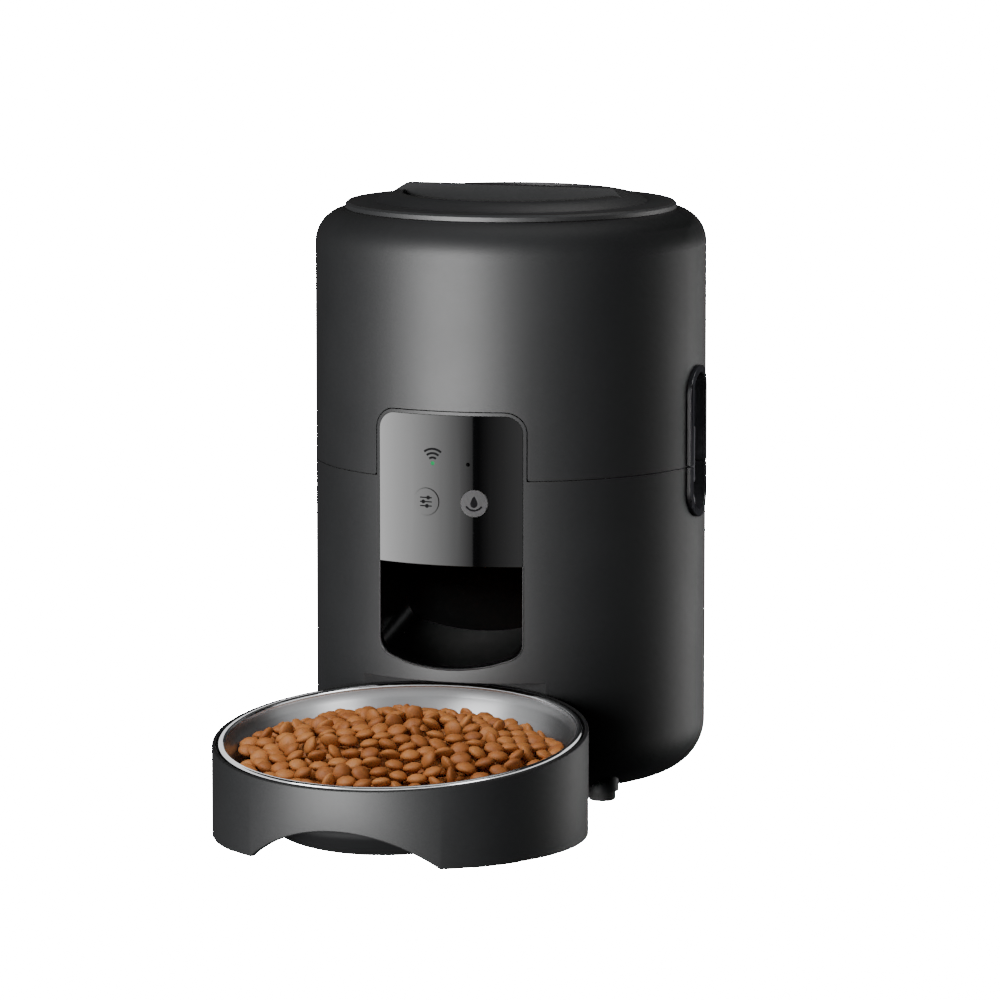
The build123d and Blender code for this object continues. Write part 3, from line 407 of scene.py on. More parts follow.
@dataclass(frozen=True)
class BakedFood:
    """Dry baked food: each piece has its own tone, with pores, crumbs and browned high spots."""

    name: str
    attribute: str = "tone"

    def make(self) -> Material:
        """Builds the material: the piece's tone picks the colour, noise pores and browns it."""
        g = Graph(self.name)
        where = g.place()
        source = g.node("ShaderNodeAttribute", {"attribute_name": self.attribute}, {})
        own = Link(g, source.outputs["Fac"])
        patches = g.noise(where, 260.0, 3.0)
        pores = g.noise(where, 1700.0, 3.0, 0.65)
        browned = patches.over(0.56, 0.18)
        shade = own * 0.62 + patches * 0.38
        stops = [(0.18, Tone.FOOD_DARK.value), (0.5, Tone.FOOD_MID.value),
                 (0.85, Tone.FOOD_LIGHT.value)]
        body = g.node("ShaderNodeValToRGB", {"stops": stops}, {0: shade}).outputs[0]
        warm = g.blend(browned * 0.3, body, Tone.FOOD_MID.value)
        colour = g.blend(pores.over(0.64, 0.08) * 0.35, warm, Tone.FOOD_DARK.value)
        g.bump(pores * 0.6 + patches * 0.4, 0.0003, 0.45)
        rough = pores * 0.2 + 0.5
        return g.finish(Base_Color=colour, Roughness=rough, Subsurface_Weight=0.08,
                        Subsurface_Radius=(0.003, 0.0012, 0.0006))


@dataclass(frozen=True)
class Ink:
    """A printed mark, a little uneven in cover."""

    name: str
    tone: Tone
    roughness: float = 0.4

    def make(self) -> Material:
        """Builds the material: the ink thins slightly in fine spots."""
        g = Graph(self.name)
        cover = g.noise(g.place(), 3000.0, 2.0)
        colour = g.blend(cover, lighter(self.tone.value, 0.85), lighter(self.tone.value, 1.1))
        return g.finish(Base_Color=colour, Roughness=cover * 0.1 + (self.roughness - 0.05),
                        Specular_IOR_Level=0.12)


@dataclass(frozen=True)
class Lamp:
    """A lit light pipe."""

    name: str
    tone: Tone
    power: float = 1.0

    def make(self) -> Material:
        """Builds the material: a glow with a slightly uneven core."""
        g = Graph(self.name)
        core = g.noise(g.place(), 900.0, 1.0)
        glow = g.blend(core, lighter(self.tone.value, 0.8), lighter(self.tone.value, 1.2))
        return g.finish(Base_Color=(0.0, 0.01, 0.0), Roughness=0.6, Specular_IOR_Level=0.1,
                        Emission_Color=glow, Emission_Strength=self.power)


@dataclass(frozen=True)
class Laminate:
    """A circuit board: solder mask over faint copper tracks."""

    name: str

    def make(self) -> Material:
        """Builds the material: a noise cut at its middle stands for the tracks."""
        g = Graph(self.name)
        where = g.place()
        tracks = g.noise(where, 350.0, 1.0).over(0.5, 0.02)
        mask = g.noise(where, 1500.0, 2.0)
        green = Tone.LAMINATE.value
        colour = g.blend(tracks * 0.6 + mask * 0.2, green, lighter(green, 1.9))
        g.bump(tracks, 0.00004, 0.3)
        return g.finish(Base_Color=colour, Roughness=mask * 0.15 + 0.3)


# ---------------------------------------------------------------- surfaces


def new_object(name: str, verts: Array, faces: Sequence[Sequence[int]],
               material: Material, sharp: float = 40.0) -> Object:
    """Makes a smooth-shaded mesh object at the origin.

    Args:
        name: Piece name.
        verts: (n, 3) vertex places.
        faces: Corner numbers of each face.
        material: Its finish.
        sharp: Edges that bend by more than this many degrees stay crisp.

    Returns:
        The new object, linked to the scene.
    """
    mesh = bpy.data.meshes.new(name)
    mesh.from_pydata(np.asarray(verts, float).tolist(), [], [tuple(f) for f in faces])
    piece = bpy.data.objects.new(name, mesh)
    bpy.context.scene.collection.objects.link(piece)
    tidy_mesh(mesh, sharp)
    mesh.materials.append(material)
    return piece


def tidy_mesh(mesh: bpy.types.Mesh, sharp: float) -> None:
    """Merges doubles, drops empty faces, turns faces outwards and marks the sharp edges.

    Args:
        mesh: The mesh to change.
        sharp: Edges that bend by more than this many degrees stay crisp.
    """
    work = bmesh.new()
    work.from_mesh(mesh)
    bmesh.ops.remove_doubles(work, verts=work.verts, dist=1e-6)
    bmesh.ops.dissolve_degenerate(work, dist=1e-7, edges=work.edges)
    bmesh.ops.recalc_face_normals(work, faces=work.faces)
    work.to_mesh(mesh)
    work.free()
    mesh.shade_smooth()
    mesh.set_sharp_from_angle(angle=math.radians(sharp))


def quads(rows: int, columns: int, wrap_rows: bool, wrap_columns: bool) -> Array:
    """Faces of a grid of rows by columns, joined round where asked.

    Args:
        rows: Count of rows of vertices.
        columns: Count of vertices in a row.
        wrap_rows: Whether the last row joins the first.
        wrap_columns: Whether each row is a loop.

    Returns:
        (faces, 4) corner numbers.
    """
    i = np.arange(rows if wrap_rows else rows - 1)[:, None]
    j = np.arange(columns if wrap_columns else columns - 1)[None, :]
    i2 = (i + 1) % rows
    j2 = (j + 1) % columns
    faces = np.stack([i * columns + j, i2 * columns + j, i2 * columns + j2, i * columns + j2], -1)
    return faces.reshape(-1, 4)


def around(steps: int) -> Array:
    """Evenly spaced angles round a full turn, from zero."""
    return np.linspace(0.0, FULL_TURN, steps, endpoint=False)


def lathe(profile: Array, segments: int) -> tuple[Array, Array]:
    """A surface of revolution: each (r, z) is carried round the Z axis.

    Args:
        profile: (n, 2) radius and height, in order along the section.
        segments: Steps round the circle.

    Returns:
        Vertices and faces.
    """
    turn = around(segments)
    r, z = profile[:, :1], profile[:, 1:]
    x, y = r * np.cos(turn), r * np.sin(turn)
    verts = np.stack([x, y, np.broadcast_to(z, x.shape)], -1).reshape(-1, 3)
    return verts, quads(len(profile), segments, False, True)


def arc(centre: tuple[float, float], radius: float, start: float, end: float, steps: int) -> Array:
    """Points of a circle arc: the centre plus the radius at evenly spaced angles in degrees."""
    a = np.radians(np.linspace(start, end, steps))
    return np.stack([centre[0] + radius * np.cos(a), centre[1] + radius * np.sin(a)], -1)


def rounded(points: Sequence[tuple[float, float]], radii: Sequence[float],
            steps: int = 6) -> Array:
    """A polyline whose inner corners are rounded.

    Each corner gives way to a quadratic curve that starts and ends a tangent's length away.

    Args:
        points: The corners, first and last kept.
        radii: One radius for each inner corner.
        steps: Points on each curve.

    Returns:
        (n, 2) points.
    """
    pts = np.asarray(points, float)
    out = [pts[:1]]
    t = np.linspace(0.0, 1.0, steps)[:, None]
    for before, corner, after, radius in zip(pts[:-2], pts[1:-1], pts[2:], radii):
        a, b = before - corner, after - corner
        la, lb = np.linalg.norm(a), np.linalg.norm(b)
        half = np.arccos(np.clip(np.dot(a, b) / la / lb, -1, 1)) / 2
        cut = min(radius / max(np.tan(half), 1e-6), 0.49 * la, 0.49 * lb)
        p, q = corner + a / la * cut, corner + b / lb * cut
        out.append((1 - t) ** 2 * p + 2 * t * (1 - t) * corner + t ** 2 * q)
    out.append(pts[-1:])
    return np.concatenate(out)


def placed(verts: Array, frame: Matrix) -> Array:
    """Vertices moved by a 4 by 4 matrix."""
    m = np.array(frame)
    return verts @ m[:3, :3].T + m[:3, 3]


# ---------------------------------------------------------------- castings


@dataclass(frozen=True)
class Casting:
    """One frame node shown as a merged copy with its true edges rounded.

    An edge is a true one where the node's own normals part by more than a few degrees. The true
    edges get a small rounding in millimetres, and every corner that still lies on an old face
    takes that face's own normal.
    """

    node: str
    body: str
    slot: str
    edge: float = 0.35
    segments: int = 2
    part_angle: float = 9.0
    least_bend: float = 14.0
    flat_angle: float = 0.08
    merge: float = 2e-6

    def merged(self, source: Object) -> bpy.types.Mesh:
        """Joins the node's loose triangles, marks its true edges and weighs those to be rounded.

        Args:
            source: The node's object.

        Returns:
            The joined mesh.
        """
        old = source.data
        corner = np.zeros(len(old.loops) * 3, np.float32)
        old.corner_normals.foreach_get("vector", corner)
        corner = corner.reshape(-1, 3)
        work = bmesh.new()
        work.from_mesh(old)
        tag = work.loops.layers.int.new("corner")
        index = 0
        for face in work.faces:
            for loop in face.loops:
                loop[tag] = index
                index += 1
        bmesh.ops.remove_doubles(work, verts=work.verts, dist=self.merge)
        weight = work.edges.layers.float.new("bevel_weight_edge")
        part, bend = math.cos(math.radians(self.part_angle)), math.radians(self.least_bend)
        for edge in work.edges:
            if len(edge.link_loops) != 2:
                edge.smooth = False
                continue
            one, two = edge.link_loops
            ends = ((one[tag], two.link_loop_next[tag]), (one.link_loop_next[tag], two[tag]))
            if min(float(corner[i] @ corner[j]) for i, j in ends) < part:
                edge.smooth = False
                if edge.calc_face_angle(0.0) > bend:
                    edge[weight] = 1.0
        soft = [e for e in work.edges if e.smooth]
        flat = math.radians(self.flat_angle)
        bmesh.ops.dissolve_limit(work, angle_limit=flat, verts=[], edges=soft)
        mesh = bpy.data.meshes.new(self.node + "_form")
        work.to_mesh(mesh)
        work.free()
        return mesh

    def rounded(self, piece: Object) -> None:
        """Rounds the weighed edges, and puts the result into the piece's mesh."""
        bevel = piece.modifiers.new("edge", "BEVEL")
        bevel.width = self.edge * MM
        bevel.segments = self.segments
        bevel.limit_method = "WEIGHT"
        bevel.use_clamp_overlap = False
        bevel.material = 1
        self._bake(piece)

    def settled(self, piece: Object, source: Object) -> None:
        """Gives every corner that lies on an old face that face's own normal."""
        mesh = piece.data
        kind = np.zeros(len(mesh.polygons), np.int32)
        mesh.polygons.foreach_get("material_index", kind)
        total = np.zeros(len(mesh.polygons), np.int32)
        mesh.polygons.foreach_get("loop_total", total)
        corner_vertex = np.zeros(len(mesh.loops), np.int32)
        mesh.loops.foreach_get("vertex_index", corner_vertex)
        on_old = np.unique(corner_vertex[np.repeat(kind, total) == 0])
        group = piece.vertex_groups.new(name="old")
        group.add(on_old.tolist(), 1.0, "REPLACE")
        carry = piece.modifiers.new("normals", "DATA_TRANSFER")
        carry.object = source
        carry.use_loop_data = True
        carry.data_types_loops = {"CUSTOM_NORMAL"}
        carry.loop_mapping = "POLYINTERP_NEAREST"
        carry.vertex_group = group.name
        self._bake(piece)
        piece.vertex_groups.clear()

    @staticmethod
    def _one_slot(mesh: bpy.types.Mesh) -> None:
        """Puts every face in the first material slot."""
        mesh.polygons.foreach_set("material_index", np.zeros(len(mesh.polygons), np.int32))

    @staticmethod
    def _bake(piece: Object) -> None:
        """Applies the piece's modifiers."""
        graph = bpy.context.evaluated_depsgraph_get()
        done = bpy.data.meshes.new_from_object(piece.evaluated_get(graph), depsgraph=graph)
        old = piece.data
        piece.modifiers.clear()
        piece.data = done
        bpy.data.meshes.remove(old)
        done.name = piece.name

    def make(self, frame: dict, material: Material) -> Object:
        """Builds the piece and puts it in the node's place.

        Args:
            material: The finish.

        Returns:
            The new piece.
        """
        source = frame["nodes"][self.node]
        mesh = self.merged(source)
        mesh.materials.clear()
        mesh.materials.append(material)
        mesh.materials.append(material)
        self._one_slot(mesh)
        piece = bpy.data.objects.new(self.node + "_form", mesh)
        bpy.context.scene.collection.objects.link(piece)
        if self.edge > 0.0:
            self.rounded(piece)
        self.settled(piece, source)
        self._one_slot(piece.data)
        piece.data.materials.pop(index=1)
        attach(piece, self.body)
        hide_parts(self.node)
        return piece


# ---------------------------------------------------------------- prints


class Ground(Enum):
    """The surfaces that marks are printed on."""

    PANEL = "panel"
    BUTTON = "button"
    SLIDER_RIGHT = "slider_right"
    SLIDER_LEFT = "slider_left"


@dataclass(frozen=True)
class Print:
    """Marks lying a hair proud of a surface, drawn in that surface's own flat coordinates.

    Sizes are millimetres. On the drum, (u, v) stands for x and height, and the depth follows the
    circle y = middle - root(r2 - u2). On a slider, (u, v) stands for y and height on its flat
    front.
    """

    name: str
    ground: Ground
    axis_y: float
    radius: float = 90.0
    front: float = 86.4
    lift: float = 0.07
    sunk: float = 0.12

    def _at(self, flat: Array, height: float) -> Array:
        """Carries flat points in millimetres to the surface, raised by a height."""
        u, v = flat[:, 0], flat[:, 1]
        if self.ground in (Ground.PANEL, Ground.BUTTON):
            reach = self.radius + height
            spots = np.stack([u, self.axis_y / MM - np.sqrt(reach ** 2 - u ** 2), v], -1)
        else:
            side = 1.0 if self.ground is Ground.SLIDER_RIGHT else -1.0
            out = np.full_like(u, side * (self.front + height))
            spots = np.stack([out, self.axis_y / MM + u, v], -1)
        return spots * MM

    def badge(self, outline: Array) -> tuple[Array, list]:
        """A filled mark: an outline's top and bottom faces joined by a wall.

        Args:
            outline: (n, 2) loop in millimetres.

        Returns:
            Vertices and faces.
        """
        n = len(outline)
        verts = np.concatenate([self._at(outline, self.lift), self._at(outline, -self.sunk)])
        faces = [list(range(n)), list(range(2 * n - 1, n - 1, -1))]
        faces += [[i, n + i, n + (i + 1) % n, (i + 1) % n] for i in range(n)]
        return verts, faces

    def line(self, path: Array, width: float, closed: bool = False) -> tuple[Array, list]:
        """A drawn line: a path's two edges, each half a width away along its normal.

        Args:
            path: (n, 2) points in millimetres.
            width: Its width in millimetres.
            closed: Whether the path is a loop.

        Returns:
            Vertices and faces.
        """
        if closed:
            ahead, behind = np.roll(path, -1, 0), np.roll(path, 1, 0)
        else:
            ahead = np.concatenate([path[1:], path[-1:] * 2 - path[-2:-1]])
            behind = np.concatenate([path[:1] * 2 - path[1:2], path[:-1]])
        along = ahead - behind
        along /= np.linalg.norm(along, axis=1, keepdims=True)
        normal = np.stack([-along[:, 1], along[:, 0]], -1) * width / 2
        left, right = path + normal, path - normal
        rows = np.stack([self._at(left, self.lift), self._at(right, self.lift),
                         self._at(right, -self.sunk), self._at(left, -self.sunk)], 1)
        faces = quads(len(path), 4, closed, True).tolist()
        if not closed:
            last = 4 * (len(path) - 1)
            faces += [[0, 1, 2, 3], [last + 3, last + 2, last + 1, last]]
        return rows.reshape(-1, 3), faces

    def make(self, marks: Sequence[tuple[Array, list]], body: str, slot: str,
             material: Material) -> Object:
        """Joins marks into one piece.

        Args:
            marks: Vertices and faces of each mark.
            body: The body it rides on.
            slot: Not used.
            material: The ink.

        Returns:
            The piece.
        """
        verts, faces = joined(marks)
        piece = new_object(self.name, verts, faces, material, 30.0)
        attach(piece, body)
        return piece


def joined(parts: Sequence[tuple[Array, Sequence]]) -> tuple[Array, list]:
    """Puts several meshes' vertices and faces into one list each."""
    verts, faces, start = [], [], 0
    for points, polygons in parts:
        verts.append(points)
        faces += [[c + start for c in polygon] for polygon in polygons]
        start += len(points)
    return np.concatenate(verts), faces


def circle(x: float, z: float, radius: float, steps: int = 40) -> Array:
    """A loop of evenly spaced points round a centre."""
    return arc((x, z), radius, 0.0, 360.0, steps + 1)[:-1]


def soft_box(half: float, low: float, high: float, radius: float, steps: int) -> Array:
    """A box's loop about u = 0, with all its corners rounded but the first."""
    corners = ((-half, low), (half, low), (half, high), (-half, high), (-half, low))
    return rounded(corners, (radius,) * 3, steps)[:-1]


# ---------------------------------------------------------------- the dish and its food


@dataclass
class SteelDish:
    """The pressed dish with its rolled bead, turned about its own tilted axis.

    Sizes are millimetres, but for the centre, which is metres. A profile point is a radius and a
    height over the rim plane.
    """

    centre: tuple[float, float, float]
    tilt: float = 6.9
    bead_r: float = 80.7
    bead: float = 1.5
    steel: float = 0.8
    floor: float = 31.0
    inside: tuple = ((52.0, -31.0), (66.0, -24.0), (76.2, -5.6), (77.7, -1.9))
    bends: tuple = (9.0, 22.0, 9.0)
    bead_turn: tuple = (175.0, -165.0)
    under_bead: tuple = (77.9, -3.05)
    under_bend: float = 1.0
    wall_lean: float = 0.35
    foot_extra: float = 0.3
    bend_steps: int = 8
    bead_steps: int = 22
    segments: int = 176

    def frame(self) -> Matrix:
        """The dish's own frame: moved to its centre, and turned about X."""
        return Matrix.Translation(self.centre) @ Matrix.Rotation(math.radians(self.tilt), 4, "X")

    def section(self) -> Array:
        """The closed section: inner face out to the bead, round it, and back underneath."""
        inner = rounded(((0.0, -self.floor), *self.inside), self.bends, self.bend_steps)
        middle = self.bead_r - self.bead
        bead = arc((middle, -self.bead), self.bead, *self.bead_turn, self.bead_steps)
        wall = [(r + self.steel, z - self.wall_lean * self.steel) for r, z in self.inside[2:0:-1]]
        under = -self.floor - self.steel
        foot = (self.inside[0][0] + self.foot_extra, under)
        outer = (self.under_bead, *wall, foot, (0.0, under))
        back = rounded(outer, (self.under_bend, *self.bends), self.bend_steps)
        return np.concatenate([inner, bead, back])

    def make(self, material: Material) -> Object:
        """Builds the dish, which stands for its solid."""
        verts, faces = lathe(self.section(), self.segments)
        verts = placed(verts * MM, self.frame())
        piece = new_object("dish", verts, faces.tolist(), material, 50.0)
        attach(piece, "steel_bowl")
        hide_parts("steel_bowl")
        return piece


@dataclass
class StandShell:
    """The stand: for every angle, one closed section between the front arch and the tilted rim.

    Sizes are millimetres. A section point has a radius and either a height above the floor or a
    height over the rim plane, which falls by tan(tilt) * r * cos a towards the front. The arch's
    edge is the circle of the given half width and rise.
    """

    dish: SteelDish
    outer: float = 83.2
    inner: float = 80.8
    rim_outer: float = 81.6
    foot: float = 0.1
    arch_half: float = 44.0
    arch_rise: float = 16.0
    lip: float = -0.6
    ledge: float = -3.0
    soft: float = 0.7
    rim_soft: float = 0.35
    soft_steps: int = 5
    under_lap: float = 1.5
    cup_bends: tuple = (0.5, 6.0, 5.0)
    under_bends: tuple = (5.0, 6.0)
    crisp: float = 34.0
    cup: tuple = ((79.5, -3.0), (70.64, -25.0), (54.64, -35.0))
    under: tuple = ((56.64, -37.0), (72.64, -25.0), (80.3, -6.0))
    segments: int = 300

    def bottom(self, angle: Array) -> Array:
        """The height of the wall's lower edge: the foot, or the arch's circle in front."""
        circle_r = (self.arch_half ** 2 + self.arch_rise ** 2) / (2.0 * self.arch_rise)
        x = self.outer * np.sin(angle)
        rise = np.sqrt(np.clip(circle_r ** 2 - x ** 2, 0.0, None)) + self.arch_rise - circle_r
        return np.where(np.cos(angle) > 0.0, np.maximum(self.foot, rise), self.foot)

    def rim(self, radius: Array, angle: Array, depth: Array) -> Array:
        """The height of a point that lies depth over the tilted rim plane."""
        tilt = math.radians(self.dish.tilt)
        fall = radius * np.cos(angle) * math.tan(tilt)
        return self.dish.centre[2] / MM - fall + depth / math.cos(tilt)

    def make(self, material: Material) -> Object:
        """Builds the stand, which stands for its solid."""
        end = math.asin(self.arch_half / self.outer)
        ends = [end, FULL_TURN - end]
        angle = np.unique(np.concatenate([around(self.segments), ends]))[None, :]
        k, m, edge, steps = self.soft, self.rim_soft, self.lip, self.soft_steps
        turn = np.linspace(0.0, 0.5 * np.pi, steps)
        low = self.bottom(angle)
        rows = [(self.outer - k + k * math.sin(t), low + k - k * math.cos(t)) for t in turn]
        rows += [(self.outer - k + k * math.cos(t),
                  self.rim(self.outer, angle, edge - k + k * math.sin(t))) for t in turn]
        rows += [(self.rim_outer + m - m * math.sin(t),
                  self.rim(self.rim_outer, angle, edge - m + m * math.cos(t))) for t in turn]
        rows += [(self.rim_outer, self.rim(self.rim_outer, angle, self.ledge))]
        cup = ((self.rim_outer, self.ledge), *self.cup, (0.0, self.cup[-1][1]))
        under = ((0.0, self.under[0][1]), *self.under)
        cup, under = rounded(cup, self.cup_bends, steps), rounded(under, self.under_bends, steps)
        rows += [(r, self.rim(r, angle, d)) for r, d in (*cup[1:], *under)]
        lap = self.under[-1][1] - self.under_lap
        rows += [(self.inner, self.rim(self.inner, angle, lap)), (self.inner, low)]
        radius = np.stack([np.broadcast_to(r, angle.shape)[0] for r, _ in rows])
        height = np.stack([np.broadcast_to(z, angle.shape)[0] for _, z in rows])
        x, y = radius * np.sin(angle), -radius * np.cos(angle) + self.dish.centre[1] / MM
        verts = np.stack([x, y, height], -1).reshape(-1, 3) * MM
        faces = quads(len(rows), angle.shape[1], True, True)
        piece = new_object("stand", verts, faces.tolist(), material, self.crisp)
        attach(piece, "bowl_stand")
        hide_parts("bowl_stand")
        return piece


@dataclass
class WindowRim:
    """The fine polished edge round the chute's mouth.

    A small round bead carried along the mouth's outline: two uprights joined by corners and a
    sagging arc, all laid on the drum's own circle. Sizes are millimetres, but for axis_y.
    """

    axis_y: float
    half: float = 34.2
    low: float = 63.5
    high: float = 111.0
    sag_r: float = 93.0
    corner: float = 9.0
    bead: float = 0.42
    drum_r: float = 89.85
    arc_steps: int = 25
    corner_to: int = 9
    corner_steps: int = 14
    clear: float = 0.5
    sides: int = 10

    def outline(self) -> Array:
        """An upright, a rounded corner and half the arc, all mirrored for the other half."""
        x = np.linspace(-self.half, 0.0, self.arc_steps)
        arc_z = self.low + self.sag_r - np.sqrt(self.sag_r ** 2 - x ** 2)
        to = self.corner_to
        corner = rounded(((-self.half, self.high), (-self.half, arc_z[0]), (x[to], arc_z[to])),
                         (self.corner,), self.corner_steps)
        after = np.stack([x, arc_z], -1)[x > corner[-1][0] + self.clear]
        left = np.concatenate([corner, after])
        return np.concatenate([left, left[-2::-1] * [-1.0, 1.0]])

    def make(self, material: Material) -> Object:
        """Builds the bead, riding on the base."""
        flat = self.outline()
        u, v = flat[:, 0], flat[:, 1]
        depth = self.axis_y / MM - np.sqrt(self.drum_r ** 2 - u ** 2)
        path = np.stack([u, depth, v], -1)
        out = np.stack([u, depth - self.axis_y / MM, np.zeros_like(u)], -1)
        out /= np.linalg.norm(out, axis=1, keepdims=True)
        along = np.gradient(path, axis=0)
        along /= np.linalg.norm(along, axis=1, keepdims=True)
        side = np.cross(along, out)
        n = self.sides
        t = around(n)[None, :, None]
        rings = path[:, None] + self.bead * (np.cos(t) * out[:, None] + np.sin(t) * side[:, None])
        faces = quads(len(path), n, False, True).tolist()
        last = n * (len(path) - 1)
        faces += [list(range(n - 1, -1, -1)), list(range(last, last + n))]
        # The bead takes a colour painted lighter than the shell's, which stands for a highlight
        # along the mouth.
        piece = new_object("mouth_rim", rings.reshape(-1, 3) * MM, faces, material, 60.0)
        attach(piece, "base")
        return piece


@dataclass
class FoodHeap:
    """A few hundred lens-shaped baked pieces heaped in the dish.

    Each piece is a disc whose half thickness falls from the middle as (1 - r2) to a power. The
    pieces start on staggered grids under the heap's surface and push each other apart for a number
    of steps. Sizes are millimetres.
    """

    dish: SteelDish
    seed: int = 41
    piece_r: float = 4.6
    piece_half: float = 2.35
    spacing: float = 8.6
    layers: int = 3
    layer_drop: float = 4.4
    push: float = 8.1
    steps: int = 70
    edge_z: float = 35.5
    dome: float = 16.5
    crest: float = 4.0
    back_fall: float = 1.5
    reach: float = 75.0
    jitter: float = 1.3
    jitter_z: float = 0.6
    yielding: float = 0.22
    sunk: float = 0.8
    lean: float = 26.0
    steep_share: float = 0.17
    steep_lean: tuple = (50.0, 92.0)
    lens_steps: int = 10

    def surface(self, x: Array, y: Array) -> Array:
        """The heap's height: a dome on a plane that follows the rim in front and falls behind."""
        slope = math.tan(math.radians(self.dish.tilt))
        r2 = (x ** 2 + (y - self.crest) ** 2) / self.reach ** 2
        waves = 0.9 * np.sin(x / 11.0 + 1.0) * np.cos(y / 9.0) + 0.6 * np.sin(y / 6.5 + x / 15.0)
        back = np.clip(y / self.reach, 0.0, None) ** 2 * self.back_fall
        return self.edge_z + slope * np.minimum(y, 0.0) + self.dome * (1.0 - r2) - back + waves

    def wall_radius(self, y: Array, z: Array) -> Array:
        """The dish's inner radius at a height, read along its straight wall."""
        a = math.radians(self.dish.tilt)
        depth = (z - self.dish.centre[2] / MM) * math.cos(a) - y * math.sin(a)
        depths = [-self.dish.floor, -24.0, -6.5, 10.0]
        return np.interp(depth, depths, [52.0, 66.0, 75.7, 77.0])

    def middles(self, rng: np.random.Generator) -> Array:
        """Where the pieces lie, in millimetres from the dish's centre line.

        Args:
            rng: The seeded generator.

        Returns:
            (n, 3) places.
        """
        n = int(2 * self.reach / self.spacing) + 2
        rows = []
        for layer in range(self.layers):
            i, j = np.meshgrid(np.arange(n), np.arange(n))
            x = (i + 0.5 * (j % 2) + 0.33 * layer - n / 2) * self.spacing
            y = (j + 0.4 * layer - n / 2) * self.spacing * 0.866
            flat = np.stack([x.ravel(), y.ravel()], -1) + rng.normal(0.0, self.jitter, (n * n, 2))
            z = self.surface(flat[:, 0], flat[:, 1]) - self.piece_half - layer * self.layer_drop
            z += rng.normal(0.0, self.jitter_z, len(z))
            rows.append(np.column_stack([flat, z]))
        spots = np.concatenate(rows)
        limit = self.wall_radius(spots[:, 1], spots[:, 2]) - 1.0
        spots = spots[np.hypot(spots[:, 0], spots[:, 1]) < limit]
        for _ in range(self.steps):
            gap = spots[:, None, :] - spots[None, :, :]
            far = np.linalg.norm(gap, axis=2) + np.eye(len(spots)) * 1e3
            press = np.clip(self.push - far, 0.0, None) * self.yielding
            spots = spots + (gap / far[..., None] * press[..., None]).sum(1)
            top = self.surface(spots[:, 0], spots[:, 1]) - self.sunk
            spots[:, 2] = np.minimum(spots[:, 2], top)
            limit = self.wall_radius(spots[:, 1], spots[:, 2] - 1.5) - self.piece_r - 0.2
            r = np.maximum(np.hypot(spots[:, 0], spots[:, 1]), 1e-6)
            spots[:, :2] *= np.minimum(1.0, limit / r)[:, None]
        return spots

    def turns(self, rng: np.random.Generator, count: int) -> Array:
        """Each piece's rotation: a lean about a level axis a, as cI + s[a]x + (1 - c)aa'.

        Args:
            rng: The seeded generator.
            count: Number of pieces.

        Returns:
            (count, 3, 3) rotations.
        """
        slight = np.clip(np.abs(rng.normal(0.0, self.lean, count)), 0.0, 60.0)
        steep = rng.random(count) < self.steep_share
        lean = np.radians(np.where(steep, rng.uniform(*self.steep_lean, count), slight))
        way = rng.uniform(0.0, FULL_TURN, count)
        axis = np.stack([np.cos(way), np.sin(way), np.zeros(count)], -1)
        zero = np.zeros(count)
        cross = np.stack([zero, -axis[:, 2], axis[:, 1], axis[:, 2], zero, -axis[:, 0],
                          -axis[:, 1], axis[:, 0], zero], -1).reshape(-1, 3, 3)
        s, c = np.sin(lean)[:, None, None], np.cos(lean)[:, None, None]
        outer = axis[:, :, None] * axis[:, None, :]
        return c * np.eye(3) + s * cross + (1.0 - c) * outer

    def lens(self) -> tuple[Array, Array]:
        """One piece: rings of radius r at heights of plus and minus (1 - r2) ^ 0.7."""
        rings = np.array([0.0, 0.5, 0.83, 1.0, 0.83, 0.5, 0.0])
        side = np.array([1.0, 1.0, 1.0, 0.0, -1.0, -1.0, -1.0])
        height = side * (1.0 - rings ** 2) ** 0.7
        a = around(self.lens_steps)
        x = rings[:, None] * np.cos(a)
        y = rings[:, None] * np.sin(a)
        z = np.broadcast_to(height[:, None], x.shape)
        verts = np.stack([x * self.piece_r, y * self.piece_r, z * self.piece_half], -1)
        return verts.reshape(-1, 3), quads(len(rings), self.lens_steps, False, True)[:, ::-1]

    def make(self, material: Material) -> Object:
        """Builds the heap as one piece, with each lens's tone kept in an attribute."""
        rng = np.random.default_rng(self.seed)
        spots = self.middles(rng)
        count = len(spots)
        shape, faces = self.lens()
        size = rng.normal(1.0, 0.05, (count, 1, 3)).clip(0.88, 1.12)
        warp = rng.normal(1.0, 0.028, (count, len(shape), 1))
        bent = shape[None] * size * warp
        placed_all = np.einsum("nij,nvj->nvi", self.turns(rng, count), bent) + spots[:, None, :]
        cx, cy, _ = self.dish.centre
        verts = placed_all.reshape(-1, 3) * MM + np.array([cx, cy, 0.0])
        all_faces = (faces[None] + (np.arange(count) * len(shape))[:, None, None]).reshape(-1, 4)
        mesh = bpy.data.meshes.new("food_pieces")
        mesh.from_pydata(verts.tolist(), [], all_faces.tolist())
        tones = np.repeat(rng.beta(2.2, 2.2, count), len(shape)).astype(np.float32)
        mesh.attributes.new("tone", "FLOAT", "POINT").data.foreach_set("value", tones)
        piece = bpy.data.objects.new("food_pieces", mesh)
        bpy.context.scene.collection.objects.link(piece)
        tidy_mesh(mesh, 180.0)
        mesh.materials.append(material)
        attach(piece, "steel_bowl")
        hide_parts("kibble")
        LOG.info("food: %d pieces", count)
        return piece


# ---------------------------------------------------------------- the feeder


